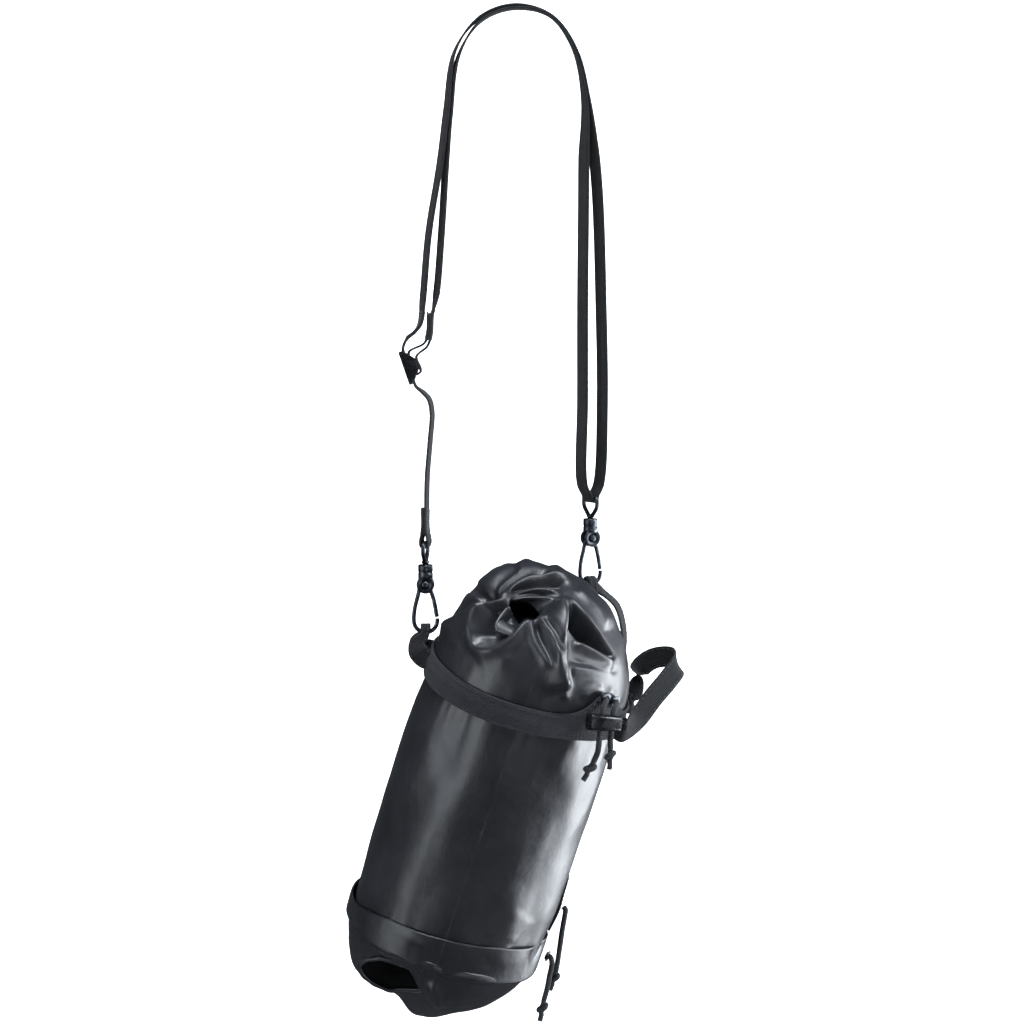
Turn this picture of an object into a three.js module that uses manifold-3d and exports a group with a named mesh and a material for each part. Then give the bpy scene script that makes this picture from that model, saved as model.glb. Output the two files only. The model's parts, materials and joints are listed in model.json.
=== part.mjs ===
// Rope storage bag hung by its doubled shoulder strap. Millimetres, +Z up.
// The origin is the top of the strap, where it goes over whatever holds the bag.
// +X is to the right and +Y is to the back of the hanging bag.

import * as THREE from "three";
import { mergeVertices } from "three/addons/utils/BufferGeometryUtils.js";
import Module from "manifold-3d";

const wasm = await Module();
wasm.setup();

// ---- driving dimensions ----------------------------------------------------------------

const BODY_RADIUS = 70;          // outside of the round body
const BODY_HEIGHT = 183;         // rim line down to the lower seam
const BODY_BELLY = 1.5;          // how far the filled body stands out at half height
const FABRIC = 1.6;              // coated fabric wall
const BASE_THICKNESS = 2;
const FIT_GAP = 0.3;             // between pieces sewn or set against each other
const ROUND_PLAY = 0.35;         // extra where two many-sided rounds nest

const RIM_TAPE_WIDTH = 20;
const RIM_TAPE_BOTTOM = -6;      // below the rim line
const RIM_TAPE_THICKNESS = 2.3;
const CHANNEL_CENTRE = 4;        // height of the drawcord above the rim line
const CORD_DIAMETER = 4;
const CORD_PLAY = 0.3;           // around a cord in its channel, eyelet or lock
const GUSSET_THICKNESS = 1.8;
const EYELET_SIDES = [43, 52];   // degrees from the front towards +X
const EYELET_HEIGHTS = [31, 28];
const EYELET_WALL = 0.7;
const EYELET_FLANGE_WIDTH = 1.1;

const COLLAR_HEIGHT = 88;
const COLLAR_MOUTH_RADIUS = 17;
const SLEEVE_DEPTH = 58;         // lower sleeve below the lower seam
const SLEEVE_MOUTH_RADIUS = 20;
const HEM_RADIUS = 1.6;
const CUFF_WIDTH = 16;
const CUFF_THICKNESS = 2.2;
const CUFF_STAND_OFF = 0.9;      // loose cuff stands clear of the body by this much
const LOWER_EXIT_SIDE = 70;      // where the lower drawcord leaves its cuff
const SIDE_LOOP_SIDE = 97;

const WEBBING_WIDTH = 15;
const WEBBING_THICKNESS = 1.6;
const LAYER_GAP = 0.4;
const BUNCHED = [7, 3];          // webbing drawn together where it lies in a bow
const HANDLE_FRONT = 64;
const HANDLE_REAR = 106;
const HANDLE_LIFT = 2.4;         // room under the handle's roots to fold up and down

const WIRE = 3;                  // hook and eye wire
const HOOK_REACH = 62.8;         // eye bar centre to the lowest point of the bow's wire
const BOW_RADIUS = 8.2;
const BOW_CLEARANCE = 1.9;       // between a bow's wire and the webbing in it
const HEAD_HEIGHT = -28.9;       // gate pivot, below the eye bar's centre
const HEAD_RADIUS = 6.3;
const HEAD_THICKNESS = 8;
const NECK_TOP = -15;
const NECK_RADIUS = 5.2;
const GATE_THICKNESS = 3;
const GATE_HEAD = 4.6;
const GATE_SLOT_HALF = 2.8;
const NOSE_GAP = 1.2;            // the opening gate's tip drops by less than this
const RIVET_RADIUS = 1.75;
const PIVOT_PLAY = 0.3;
const STUD_RADIUS = 2;
const STUD_HEAD = 2.8;
const LEFT_EYE_TURN = -8;        // degrees about the vertical
const RIGHT_EYE_TURN = 27;
const RIGHT_HOOK_TURN = 26;

const ADJUSTER_LENGTH = 24;
const ADJUSTER_BAR = 2.4;
const ADJUSTER_TRAVEL = 4;       // slack of the sewn loop each way on the centre bar
const CHEEK_THICKNESS = 2;
const ADJUSTER_TILT = THREE.MathUtils.degToRad(-18.8);

const LOCK_LENGTH = 22.5;
const LOCK_HEIGHT = 11;
const LOCK_WALL = 1.3;
const LOCK_TRAVEL = 2.2;         // how far the button goes in
const SPRING_PRESSED = 2.6;      // room for the spring behind the button when it is in
const SPRING_WIRE = 0.3;
const CORD_SPACING = 8.6;        // between the two cords in the lock
const PLUNGER_HEIGHT = 5.6;
const BUTTON_HEAD = 2.4;
const LOCK_TURN = THREE.MathUtils.degToRad(25);
const LOCK_LEAN = THREE.MathUtils.degToRad(7);

const ROUND_SIDES = 40;
const BAG_TILT = THREE.MathUtils.degToRad(18);
const BAG_PITCH = THREE.MathUtils.degToRad(10);
const RIM_CENTRE = new THREE.Vector3(7.1, -20, -479.5);

// ---- what follows from them ------------------------------------------------------------

const LAYER = WEBBING_THICKNESS + LAYER_GAP;
const BODY_INSIDE = BODY_RADIUS - FABRIC;
const CORD_RADIUS = CORD_DIAMETER / 2;
const CHANNEL_HALF = CORD_RADIUS + 1;
const TAPE_INSIDE = BODY_RADIUS + FIT_GAP;
const TAPE_OUTSIDE = TAPE_INSIDE + RIM_TAPE_THICKNESS;
const TAPE_TOP = RIM_TAPE_BOTTOM + RIM_TAPE_WIDTH;
const CORD_RING_RADIUS = BODY_RADIUS - CORD_RADIUS + 1.2;
const COLLAR_BOTTOM = CHANNEL_CENTRE + CORD_RADIUS + 1;
const CUFF_INSIDE = BODY_RADIUS + BODY_BELLY + CUFF_STAND_OFF;
const CUFF_OUTSIDE = CUFF_INSIDE + CUFF_THICKNESS + CORD_DIAMETER;
const WIRE_RADIUS = WIRE / 2;

// ---- shaping helpers -------------------------------------------------------------------

const vec = (x, y, z) => new THREE.Vector3(x, y, z);

// Merges shared corners and turns the faces outward.
function closed(geometry) {
  geometry.deleteAttribute("normal");
  geometry.deleteAttribute("uv");
  const merged = mergeVertices(geometry, 1e-4);
  const corner = [vec(), vec(), vec()];
  const index = merged.index.array;
  let volume = 0;
  for (let i = 0; i < index.length; i += 3) {
    corner.forEach((c, k) => c.fromBufferAttribute(merged.attributes.position, index[i + k]));
    volume += corner[0].dot(corner[1].clone().cross(corner[2]));
  }
  if (volume < 0) {
    for (let i = 0; i < index.length; i += 3) {
      [index[i + 1], index[i + 2]] = [index[i + 2], index[i + 1]];
    }
  }
  merged.computeVertexNormals();
  return merged;
}

function toSolid(geometry) {
  const clean = closed(geometry);
  return new wasm.Manifold(new wasm.Mesh({
    numProp: 3,
    vertProperties: new Float32Array(clean.attributes.position.array),
    triVerts: new Uint32Array(clean.index.array),
  }));
}

function fromSolid(solid) {
  const mesh = solid.getMesh();
  const geometry = new THREE.BufferGeometry();
  geometry.setAttribute("position", new THREE.BufferAttribute(mesh.vertProperties, 3));
  geometry.setIndex(new THREE.BufferAttribute(mesh.triVerts, 1));
  geometry.computeVertexNormals();
  return geometry;
}

// Joins the first list of geometries and takes the second list away.
function joinAndCut(joined, removed = []) {
  let solid = toSolid(joined[0]);
  for (const geometry of joined.slice(1)) solid = solid.add(toSolid(geometry));
  for (const geometry of removed) solid = solid.subtract(toSolid(geometry));
  return fromSolid(solid);
}

// Skins a row of closed outlines, each with the same number of points. A ring joins its
// last outline to its first, and a bar gets a cap on each end.
function loft(outlines, isRing = false) {
  const count = outlines[0].length;
  const triangles = [];
  const rows = isRing ? outlines.length : outlines.length - 1;
  for (let row = 0; row < rows; row++) {
    const here = row * count;
    const next = ((row + 1) % outlines.length) * count;
    for (let i = 0; i < count; i++) {
      const j = (i + 1) % count;
      triangles.push(here + i, next + i, next + j, here + i, next + j, here + j);
    }
  }
  if (!isRing) {
    const last = (outlines.length - 1) * count;
    for (let i = 1; i < count - 1; i++) {
      triangles.push(0, i, i + 1, last, last + i + 1, last + i);
    }
  }
  const geometry = new THREE.BufferGeometry();
  const corners = outlines.flat().flatMap((point) => point.toArray());
  geometry.setAttribute("position", new THREE.Float32BufferAttribute(corners, 3));
  geometry.setIndex(triangles);
  return closed(geometry);
}

// A strip of webbing. Each stop is [centre, direction across the strip, width, thickness],
// and the last two may be left out.
function ribbon(stops, stepsPerSpan = 3) {
  const curve = new THREE.CatmullRomCurve3(stops.map((stop) => stop[0]), false, "centripetal");
  const steps = (stops.length - 1) * stepsPerSpan;
  const outlines = [];
  for (let step = 0; step <= steps; step++) {
    const place = step / stepsPerSpan;
    const before = Math.min(Math.floor(place), stops.length - 2);
    const share = place - before;
    const blend = (k, usual) => THREE.MathUtils.lerp(
      stops[before][k] ?? usual, stops[before + 1][k] ?? usual, share);
    const centre = curve.getPoint(step / steps);
    const along = curve.getTangent(step / steps);
    const across = stops[before][1].clone().lerp(stops[before + 1][1], share);
    across.addScaledVector(along, -across.dot(along)).normalize();
    const outward = along.clone().cross(across);
    across.multiplyScalar(blend(2, WEBBING_WIDTH) / 2);
    outward.multiplyScalar(blend(3, WEBBING_THICKNESS) / 2);
    outlines.push([[1, 1], [-1, 1], [-1, -1], [1, -1]].map(([a, o]) =>
      centre.clone().addScaledVector(across, a).addScaledVector(outward, o)));
  }
  return loft(outlines);
}

// A round wire whose centre line lies in one plane.
function wire(points, planeNormal, radius, steps, isRing = false, sides = 8) {
  const curve = new THREE.CatmullRomCurve3(points, isRing, "centripetal");
  const outlines = [];
  for (let step = 0; step < (isRing ? steps : steps + 1); step++) {
    const along = curve.getTangentAt(step / steps);
    const inPlane = along.clone().cross(planeNormal).normalize();
    outlines.push(circlePoints(curve.getPointAt(step / steps), inPlane, planeNormal, radius, sides));
  }
  return loft(outlines, isRing);
}

function circlePoints(centre, first, second, radius, sides) {
  return Array.from({ length: sides }, (_, i) => {
    const turn = (2 * Math.PI * i) / sides;
    return centre.clone()
      .addScaledVector(first, radius * Math.cos(turn))
      .addScaledVector(second, radius * Math.sin(turn));
  });
}

// A cord laid along its route.
function cord(points, steps) {
  const path = new THREE.CatmullRomCurve3(points, false, "centripetal");
  const section = new THREE.Shape().absarc(0, 0, CORD_RADIUS, 0, 2 * Math.PI);
  const options = { steps, curveSegments: 4, extrudePath: path };
  return closed(new THREE.ExtrudeGeometry(section, options));
}

// Turns a profile of [radius, height] round the Z axis.
function turned(profile, sides = ROUND_SIDES) {
  const points = profile.map(([r, z]) => new THREE.Vector2(r, z));
  return closed(new THREE.LatheGeometry(points, sides).rotateX(Math.PI / 2));
}

function rod(radius, length, axis, centre = vec(0, 0, 0), sides = 18) {
  const geometry = new THREE.CylinderGeometry(radius, radius, length, sides);
  geometry.applyQuaternion(new THREE.Quaternion().setFromUnitVectors(vec(0, 1, 0), axis));
  return geometry.translate(centre.x, centre.y, centre.z);
}

function block(sizeX, sizeY, sizeZ, x = 0, y = 0, z = 0) {
  return new THREE.BoxGeometry(sizeX, sizeY, sizeZ).translate(x, y, z);
}

const finish = (color, roughness, metalness = 0) => ({ color, roughness, metalness });
const COATED = finish(0x24262b, 0.38);
const TAPE = finish(0x23242c, 0.85);
const WEBBING = finish(0x141518, 0.8);
const CORD = finish(0x181a1e, 0.75);
const DARK_METAL = finish(0x3a3f45, 0.35, 0.9);
const PLASTIC = finish(0x101113, 0.4);

function piece(name, geometry, look) {
  const mesh = new THREE.Mesh(geometry, new THREE.MeshStandardMaterial(look));
  mesh.name = name;
  return mesh;
}

// ---- the bag's own frame: Z up its axis, origin at the middle of the rim ----------------

const bag = new THREE.Group();
bag.position.copy(RIM_CENTRE);
bag.rotation.set(BAG_PITCH, BAG_TILT, 0, "YXZ");
bag.updateMatrixWorld();

const bagPoint = (x, y, z) => vec(x, y, z).applyMatrix4(bag.matrixWorld);
const bagDirection = (x, y, z) => vec(x, y, z).transformDirection(bag.matrixWorld);
const BAG_AXIS = bagDirection(0, 0, 1);

// A point on the bag's side: degrees from the front towards +X, radius and height.
function onSide(degrees, radius, height) {
  const turn = THREE.MathUtils.degToRad(degrees);
  return vec(radius * Math.sin(turn), -radius * Math.cos(turn), height);
}
const sidePoint = (degrees, radius, height) =>
  onSide(degrees, radius, height).applyMatrix4(bag.matrixWorld);
function roundSide(degrees) {
  const turn = THREE.MathUtils.degToRad(degrees);
  return bagDirection(Math.cos(turn), Math.sin(turn), 0);
}

// A fabric shell from rings of [centre x, centre y, height, radius x, radius y], first to last.
function shell(rings, sides = 32) {
  const outlines = [];
  for (let side = 0; side < sides; side++) {
    const turn = (2 * Math.PI * side) / sides;
    const outside = rings.map(([x, y, z, rx, ry]) =>
      vec(x + rx * Math.cos(turn), y + ry * Math.sin(turn), z));
    const inside = outside.map((point, i) => {
      const along = outside[Math.min(i + 1, rings.length - 1)].clone()
        .sub(outside[Math.max(i - 1, 0)]).normalize();
      const round = vec(-Math.sin(turn), Math.cos(turn), 0);
      const inward = along.cross(round).normalize();
      const toCentre = vec(rings[i][0], rings[i][1], 0).sub(vec(point.x, point.y, 0));
      if (inward.dot(toCentre) < 0) inward.negate();
      return point.clone().addScaledVector(inward, FABRIC);
    });
    outlines.push([...outside, ...inside.reverse()]);
  }
  return loft(outlines, true);
}

// ---- body, base and rim ----------------------------------------------------------------

function bodyPanel() {
  const top = CHANNEL_CENTRE - CHANNEL_HALF;
  const stations = 6;
  const side = (radius) => Array.from({ length: stations + 1 }, (_, i) => {
    const share = i / stations;
    const belly = BODY_BELLY * Math.sin(Math.PI * share);
    return [radius + belly, -BODY_HEIGHT + (top + BODY_HEIGHT) * share];
  });
  const outside = side(BODY_RADIUS);
  const inside = side(BODY_INSIDE).reverse();
  return turned([...outside, ...inside, outside[0]]);
}

const BASE_TOP = -BODY_HEIGHT + BASE_THICKNESS + 1;
const basePanel = () => rod(BODY_INSIDE - FIT_GAP, BASE_THICKNESS, vec(0, 0, 1),
  vec(0, 0, BASE_TOP - BASE_THICKNESS / 2), ROUND_SIDES);

// Ring from a flat face to a back face, with a groove for the drawcord in the flat face.
function channelRing(flatRadius, grooveRadius, backRadius, bottom, top, centre) {
  const low = centre - CHANNEL_HALF;
  const high = centre + CHANNEL_HALF;
  return turned([
    [backRadius, bottom], [backRadius, top], [flatRadius, top], [flatRadius, high],
    [grooveRadius, high], [grooveRadius, low], [flatRadius, low], [flatRadius, bottom],
    [backRadius, bottom],
  ]);
}

const EYELET_RADIUS = CORD_RADIUS + CORD_PLAY;
const EYELET_BARREL = EYELET_RADIUS + EYELET_WALL;
const EYELET_FLANGE = EYELET_BARREL + EYELET_FLANGE_WIDTH;
const GUSSET_RADIUS = TAPE_OUTSIDE - 0.6;

const rimTape = () => channelRing(TAPE_INSIDE, CORD_RING_RADIUS + CORD_RADIUS + CORD_PLAY,
  TAPE_OUTSIDE, RIM_TAPE_BOTTOM, TAPE_TOP, CHANNEL_CENTRE);

function channelLining() {
  const groove = CORD_RING_RADIUS - CORD_RADIUS - CORD_PLAY;
  return channelRing(BODY_INSIDE - FIT_GAP - ROUND_PLAY, groove, groove - 0.8,
    RIM_TAPE_BOTTOM + 1, COLLAR_BOTTOM + 5, CHANNEL_CENTRE);
}

function cordRing(radius, height) {
  const sides = 8;
  return turned(Array.from({ length: sides + 1 }, (_, i) => {
    const turn = (2 * Math.PI * (i % sides)) / sides;
    return [radius + CORD_RADIUS * Math.cos(turn), height + CORD_RADIUS * Math.sin(turn)];
  }));
}

// The peak of tape that the two cord ends pull up and come out of.
function cordGusset() {
  const first = EYELET_SIDES[0] - 13;
  const last = EYELET_SIDES[1] + 11;
  const stations = 12;
  const peak = EYELET_HEIGHTS[0] + EYELET_FLANGE;
  const outlines = Array.from({ length: stations + 1 }, (_, i) => {
    const degrees = first + ((last - first) * i) / stations;
    const rise = Math.min(1, 1.7 * Math.sin((Math.PI * i) / stations)) ** 2;
    const top = TAPE_TOP + 2 + (peak - TAPE_TOP - 2) * rise;
    const bottom = TAPE_TOP + FIT_GAP;
    const outside = GUSSET_RADIUS + GUSSET_THICKNESS;
    return [
      onSide(degrees, GUSSET_RADIUS, bottom), onSide(degrees, outside, bottom),
      onSide(degrees, outside, top), onSide(degrees, GUSSET_RADIUS, top),
    ];
  });
  const holes = EYELET_SIDES.map((degrees, i) => rod(EYELET_BARREL + FIT_GAP, 12,
    onSide(degrees, 1, 0), onSide(degrees, GUSSET_RADIUS, EYELET_HEIGHTS[i])));
  return joinAndCut([loft(outlines)], holes);
}

// A flanged ring set in a wall, its hole along the outward direction.
function eyelet(degrees, wallRadius, height, reach) {
  const flangeBottom = 0.9;
  const profile = [
    [EYELET_RADIUS, -reach], [EYELET_BARREL, -reach], [EYELET_BARREL, flangeBottom],
    [EYELET_FLANGE, flangeBottom], [EYELET_FLANGE, flangeBottom + 0.6],
    [EYELET_RADIUS, flangeBottom + 0.9], [EYELET_RADIUS, -reach],
  ];
  const geometry = turned(profile, 14);
  const outward = onSide(degrees, 1, 0);
  geometry.applyQuaternion(new THREE.Quaternion().setFromUnitVectors(vec(0, 0, 1), outward));
  const seat = onSide(degrees, wallRadius, height);
  return geometry.translate(seat.x, seat.y, seat.z);
}

// ---- collar and lower sleeve -----------------------------------------------------------

// Ring rows are shares of the body radius and of the collar's height.
function collar() {
  const r = BODY_RADIUS;
  const rise = COLLAR_HEIGHT - COLLAR_BOTTOM;
  const row = (x, y, share, radius) => [x * r, y * r, COLLAR_BOTTOM + rise * share, radius * r, radius * r];
  return shell([
    [0, 0, COLLAR_BOTTOM, r, r],
    [0, 0, TAPE_TOP, r, r],
    row(0, 0, 0.15, 0.975),
    row(-0.015, 0, 0.4, 0.905),
    row(-0.06, 0, 0.63, 0.785),
    row(-0.085, 0, 0.74, 0.69),
    row(-0.09, 0, 0.87, 0.56),
    row(-0.12, 0, 0.955, 0.42),
    [-0.1 * r, 0, COLLAR_HEIGHT, COLLAR_MOUTH_RADIUS, COLLAR_MOUTH_RADIUS],
  ]);
}

function lowerSleeve() {
  const r = BODY_RADIUS;
  const top = -BODY_HEIGHT - FIT_GAP;
  const row = (x, y, share, radius) => [x * r, y * r, top - SLEEVE_DEPTH * share, radius * r, radius * r];
  return shell([
    row(0, 0, 0, 1.04),
    row(0, -0.02, 0.2, 1.02),
    row(-0.01, -0.06, 0.45, 0.95),
    row(-0.03, -0.12, 0.7, 0.78),
    row(-0.08, -0.2, 0.9, 0.55),
    [-0.14 * r, -0.26 * r, top - SLEEVE_DEPTH, SLEEVE_MOUTH_RADIUS, SLEEVE_MOUTH_RADIUS],
  ]);
}

function sleeveHem() {
  const r = BODY_RADIUS;
  const height = -BODY_HEIGHT - SLEEVE_DEPTH - 2 * FIT_GAP - HEM_RADIUS - 0.3;
  const ring = turned(Array.from({ length: 9 }, (_, i) => {
    const turn = (2 * Math.PI * (i % 8)) / 8;
    const radius = SLEEVE_MOUTH_RADIUS - FABRIC / 2 + HEM_RADIUS * Math.cos(turn);
    return [radius, height + HEM_RADIUS * Math.sin(turn)];
  }), 32);
  return ring.translate(-0.14 * r, -0.26 * r, 0);
}

const CUFF_TOP = -BODY_HEIGHT + CUFF_WIDTH;
const LOWER_CORD_HEIGHT = CUFF_TOP - CUFF_WIDTH / 2;
const LOWER_CORD_RING = CUFF_INSIDE + 1 + CORD_RADIUS + CORD_PLAY;

// Hollow hem round the lower seam, with the lower drawcord inside it.
function lowerCuff() {
  const bottom = -BODY_HEIGHT + FIT_GAP;
  const low = LOWER_CORD_HEIGHT - CORD_RADIUS - CORD_PLAY;
  const high = LOWER_CORD_HEIGHT + CORD_RADIUS + CORD_PLAY;
  const groove = LOWER_CORD_RING + CORD_RADIUS + CORD_PLAY;
  const flat = CUFF_INSIDE;
  const ring = turned([
    [flat, bottom], [flat + CUFF_THICKNESS, bottom], [groove + 1, low - 1], [groove + 1, high + 1],
    [flat + CUFF_THICKNESS, CUFF_TOP], [flat, CUFF_TOP], [flat, high], [groove, high],
    [groove, low], [flat, low], [flat, bottom],
  ]);
  const hole = rod(EYELET_BARREL + FIT_GAP, 8, onSide(LOWER_EXIT_SIDE, 1, 0),
    onSide(LOWER_EXIT_SIDE, groove + 3, LOWER_CORD_HEIGHT));
  return joinAndCut([ring], [hole]);
}

// ---- snap hooks ------------------------------------------------------------------------
// Hook frame: origin at the middle of the eye's top bar, Z up, bow in the XZ plane.

const BOW_CENTRE = -HOOK_REACH + BOW_RADIUS;
const NOSE_HEIGHT = BOW_CENTRE + 1.6;

function hookEye() {
  const half = WEBBING_WIDTH / 2 + WIRE_RADIUS + 0.8;
  const outline = [
    [0, 0], [half - 3, 0], [half - 0.6, -0.8], [half, -3.4], [half - 0.7, -6.6],
    [half - 4.2, -10.2], [2.4, -12.6], [0, -13],
  ];
  const mirrored = outline.slice(1, -1).reverse().map(([y, z]) => [-y, z]);
  const points = [...outline, ...mirrored].map(([y, z]) => vec(0, y, z));
  const loop = wire(points, vec(1, 0, 0), WIRE_RADIUS, 26, true);
  const stud = rod(STUD_RADIUS, 9, vec(0, 0, 1), vec(0, 0, -17));
  const head = rod(STUD_HEAD, 1.4, vec(0, 0, 1), vec(0, 0, -22));
  return joinAndCut([loop, stud, head]);
}

function hookBody() {
  const arc = Array.from({ length: 7 }, (_, i) => {
    const turn = Math.PI + (Math.PI * i) / 6;
    return vec(BOW_RADIUS * Math.cos(turn), 0, BOW_CENTRE + BOW_RADIUS * Math.sin(turn));
  });
  const spine = [
    vec(-HEAD_RADIUS + 2.3, 0, HEAD_HEIGHT - 2), vec(-BOW_RADIUS + 2.6, 0, HEAD_HEIGHT - 9),
    vec(-BOW_RADIUS + 0.7, 0, BOW_CENTRE + 9),
  ];
  const bow = wire([...spine, ...arc, vec(BOW_RADIUS, 0, NOSE_HEIGHT)], vec(0, 1, 0), WIRE_RADIUS, 22);
  const head = rod(HEAD_RADIUS, HEAD_THICKNESS, vec(0, 1, 0), vec(0, 0, HEAD_HEIGHT));
  const neckLength = NECK_TOP - HEAD_HEIGHT - 3.9;
  const neck = rod(NECK_RADIUS, neckLength, vec(0, 0, 1), vec(0, 0, NECK_TOP - neckLength / 2));
  const slot = rod(GATE_HEAD + 0.5, 2 * GATE_SLOT_HALF, vec(0, 1, 0), vec(0, 0, HEAD_HEIGHT));
  const mouth = block(10.5, 2 * GATE_SLOT_HALF, HEAD_RADIUS + 1,
    2.85, 0, HEAD_HEIGHT - HEAD_RADIUS / 2 - 0.5);
  const bore = rod(STUD_RADIUS + PIVOT_PLAY, 12, vec(0, 0, 1), vec(0, 0, NECK_TOP - 2));
  const pocket = rod(STUD_HEAD + PIVOT_PLAY, 4, vec(0, 0, 1), vec(0, 0, -22.9));
  const rivetHole = rod(
    RIVET_RADIUS + PIVOT_PLAY, HEAD_THICKNESS + 2, vec(0, 1, 0), vec(0, 0, HEAD_HEIGHT));
  return joinAndCut([head, neck, bow], [slot, mouth, bore, pocket, rivetHole]);
}

function hookGate() {
  const head = rod(GATE_HEAD, GATE_THICKNESS, vec(0, 1, 0), vec(0, 0, HEAD_HEIGHT));
  const tip = vec(BOW_RADIUS - 0.3, 0, NOSE_HEIGHT + NOSE_GAP);
  const arm = wire([
    vec(2.6, 0, HEAD_HEIGHT - 2.4), vec(HEAD_RADIUS - 1.4, 0, HEAD_HEIGHT - 8),
    vec(BOW_RADIUS - 1.4, 0, (HEAD_HEIGHT + NOSE_HEIGHT) / 2 - 4), tip,
  ], vec(0, 1, 0), WIRE_RADIUS, 12);
  const bore = rod(RIVET_RADIUS + PIVOT_PLAY, GATE_THICKNESS + 2, vec(0, 1, 0), vec(0, 0, HEAD_HEIGHT));
  return joinAndCut([head, arm], [bore]);
}

function gateRivet() {
  const shank = HEAD_THICKNESS / 2 + FIT_GAP;
  const rivet = turned([
    [0, -shank - 0.9], [1.6, -shank - 0.7], [2.6, -shank], [RIVET_RADIUS, -shank],
    [RIVET_RADIUS, shank], [2.6, shank], [1.6, shank + 0.7], [0, shank + 0.9],
  ], 14);
  return rivet.rotateX(Math.PI / 2).translate(0, 0, HEAD_HEIGHT);
}

function gateSpring() {
  const depth = (GATE_THICKNESS / 2 + GATE_SLOT_HALF) / 2;
  const coil = RIVET_RADIUS + 1.15;
  const points = Array.from({ length: 12 }, (_, i) => {
    const turn = THREE.MathUtils.degToRad(-40 + 26 * i);
    return vec(coil * Math.cos(turn), depth, HEAD_HEIGHT + coil * Math.sin(turn));
  });
  return wire(points, vec(0, 1, 0), 0.32, 14, false, 6);
}

const HOOK_PIECES = [
  ["hook_body", hookBody, DARK_METAL], ["gate", hookGate, DARK_METAL],
  ["gate_rivet", gateRivet, DARK_METAL], ["gate_spring", gateSpring, DARK_METAL],
];

// The eye lines up with the strap's webbing, and the hook turns on the eye's stud.
function snapHook(side, barCentre, eyeTurn, hookTurn) {
  const place = (turn) => {
    const group = new THREE.Group();
    group.position.copy(barCentre);
    group.rotation.z = THREE.MathUtils.degToRad(turn);
    return group;
  };
  const eyeGroup = place(eyeTurn);
  eyeGroup.add(piece(`${side}_eye`, hookEye(), DARK_METAL));
  const hookGroup = place(hookTurn);
  for (const [name, make, look] of HOOK_PIECES) hookGroup.add(piece(`${side}_${name}`, make(), look));
  return [eyeGroup, hookGroup];
}

// The bows hang beside the rim on the left and behind the collar on the right.
const LEFT_BOW = bagPoint(-BODY_RADIUS - 9.4, 0, 18.8);
const RIGHT_BOW = bagPoint(23, BODY_RADIUS - 14.5, 73);
const LEFT_BAR = LEFT_BOW.clone().add(vec(0, 0, HOOK_REACH));
const RIGHT_BAR = RIGHT_BOW.clone().add(vec(0, 0, HOOK_REACH));

// ---- strap -----------------------------------------------------------------------------

const acrossAt = (degrees) => {
  const turn = THREE.MathUtils.degToRad(degrees);
  return vec(-Math.sin(turn), Math.cos(turn), 0);
};

// Adjuster frame: X from the front bars back to the sewn end, Z up its length.
const LEFT_LEAN = LEFT_BAR.y / LEFT_BAR.z;
const upLeft = (x, z) => vec(x, z * LEFT_LEAN, z).add(LEFT_BAR);
const ADJUSTER_PLACE = upLeft(-13.4, 122.3);
const ADJUSTER_STRAND = ADJUSTER_BAR / 2 + FIT_GAP + WEBBING_THICKNESS / 2;
const LOOP_RADIUS = ADJUSTER_BAR / 2 + 2 * FIT_GAP + WEBBING_THICKNESS / 2;
const CENTRE_BAR = ADJUSTER_STRAND + WEBBING_THICKNESS + FIT_GAP + LOOP_RADIUS;
const adjusterPoint = (x, z) => vec(
  x * Math.cos(ADJUSTER_TILT) + z * Math.sin(ADJUSTER_TILT), 0,
  -x * Math.sin(ADJUSTER_TILT) + z * Math.cos(ADJUSTER_TILT)).add(ADJUSTER_PLACE);

function adjuster() {
  const inside = WEBBING_WIDTH / 2 + 1.2;
  const half = ADJUSTER_LENGTH / 2;
  const back = CENTRE_BAR + ADJUSTER_BAR / 2 + 0.4;
  const front = -ADJUSTER_BAR / 2;
  const outline = new THREE.Shape([
    [front, -half], [ADJUSTER_BAR / 2, -half], [back, -3.2], [back, 3.2],
    [ADJUSTER_BAR / 2, half], [front, half],
  ].map(([x, z]) => new THREE.Vector2(x, z)));
  const cheek = (y) => new THREE.ExtrudeGeometry(outline, { depth: CHEEK_THICKNESS, bevelEnabled: false })
    .rotateX(Math.PI / 2).translate(0, y, 0);
  const barLength = 2 * inside + CHEEK_THICKNESS;
  const bars = [
    block(ADJUSTER_BAR, barLength, ADJUSTER_BAR, 0, 0, half - ADJUSTER_BAR / 2),
    block(ADJUSTER_BAR, barLength, ADJUSTER_BAR, 0, 0, -half + ADJUSTER_BAR / 2),
    rod(ADJUSTER_BAR / 2, barLength, vec(0, 1, 0), vec(CENTRE_BAR, 0, 0), 16),
  ];
  return joinAndCut([cheek(inside + CHEEK_THICKNESS), cheek(-inside), ...bars]);
}

// The sewn loop that holds an eye's bar, from its tail end round to its standing end.
function barLoop(bar, radius, across, spread) {
  const side = vec(across.y, -across.x, 0);
  const at = (s, z) => [bar.clone().addScaledVector(side, s).add(vec(0, 0, z)), across];
  return [
    at(-spread, 10), at(-radius, 1.5), at(-radius * 0.71, -radius * 0.71), at(0, -radius),
    at(radius * 0.71, -radius * 0.71), at(radius, 1.5), at(spread, 10),
  ];
}

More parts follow.
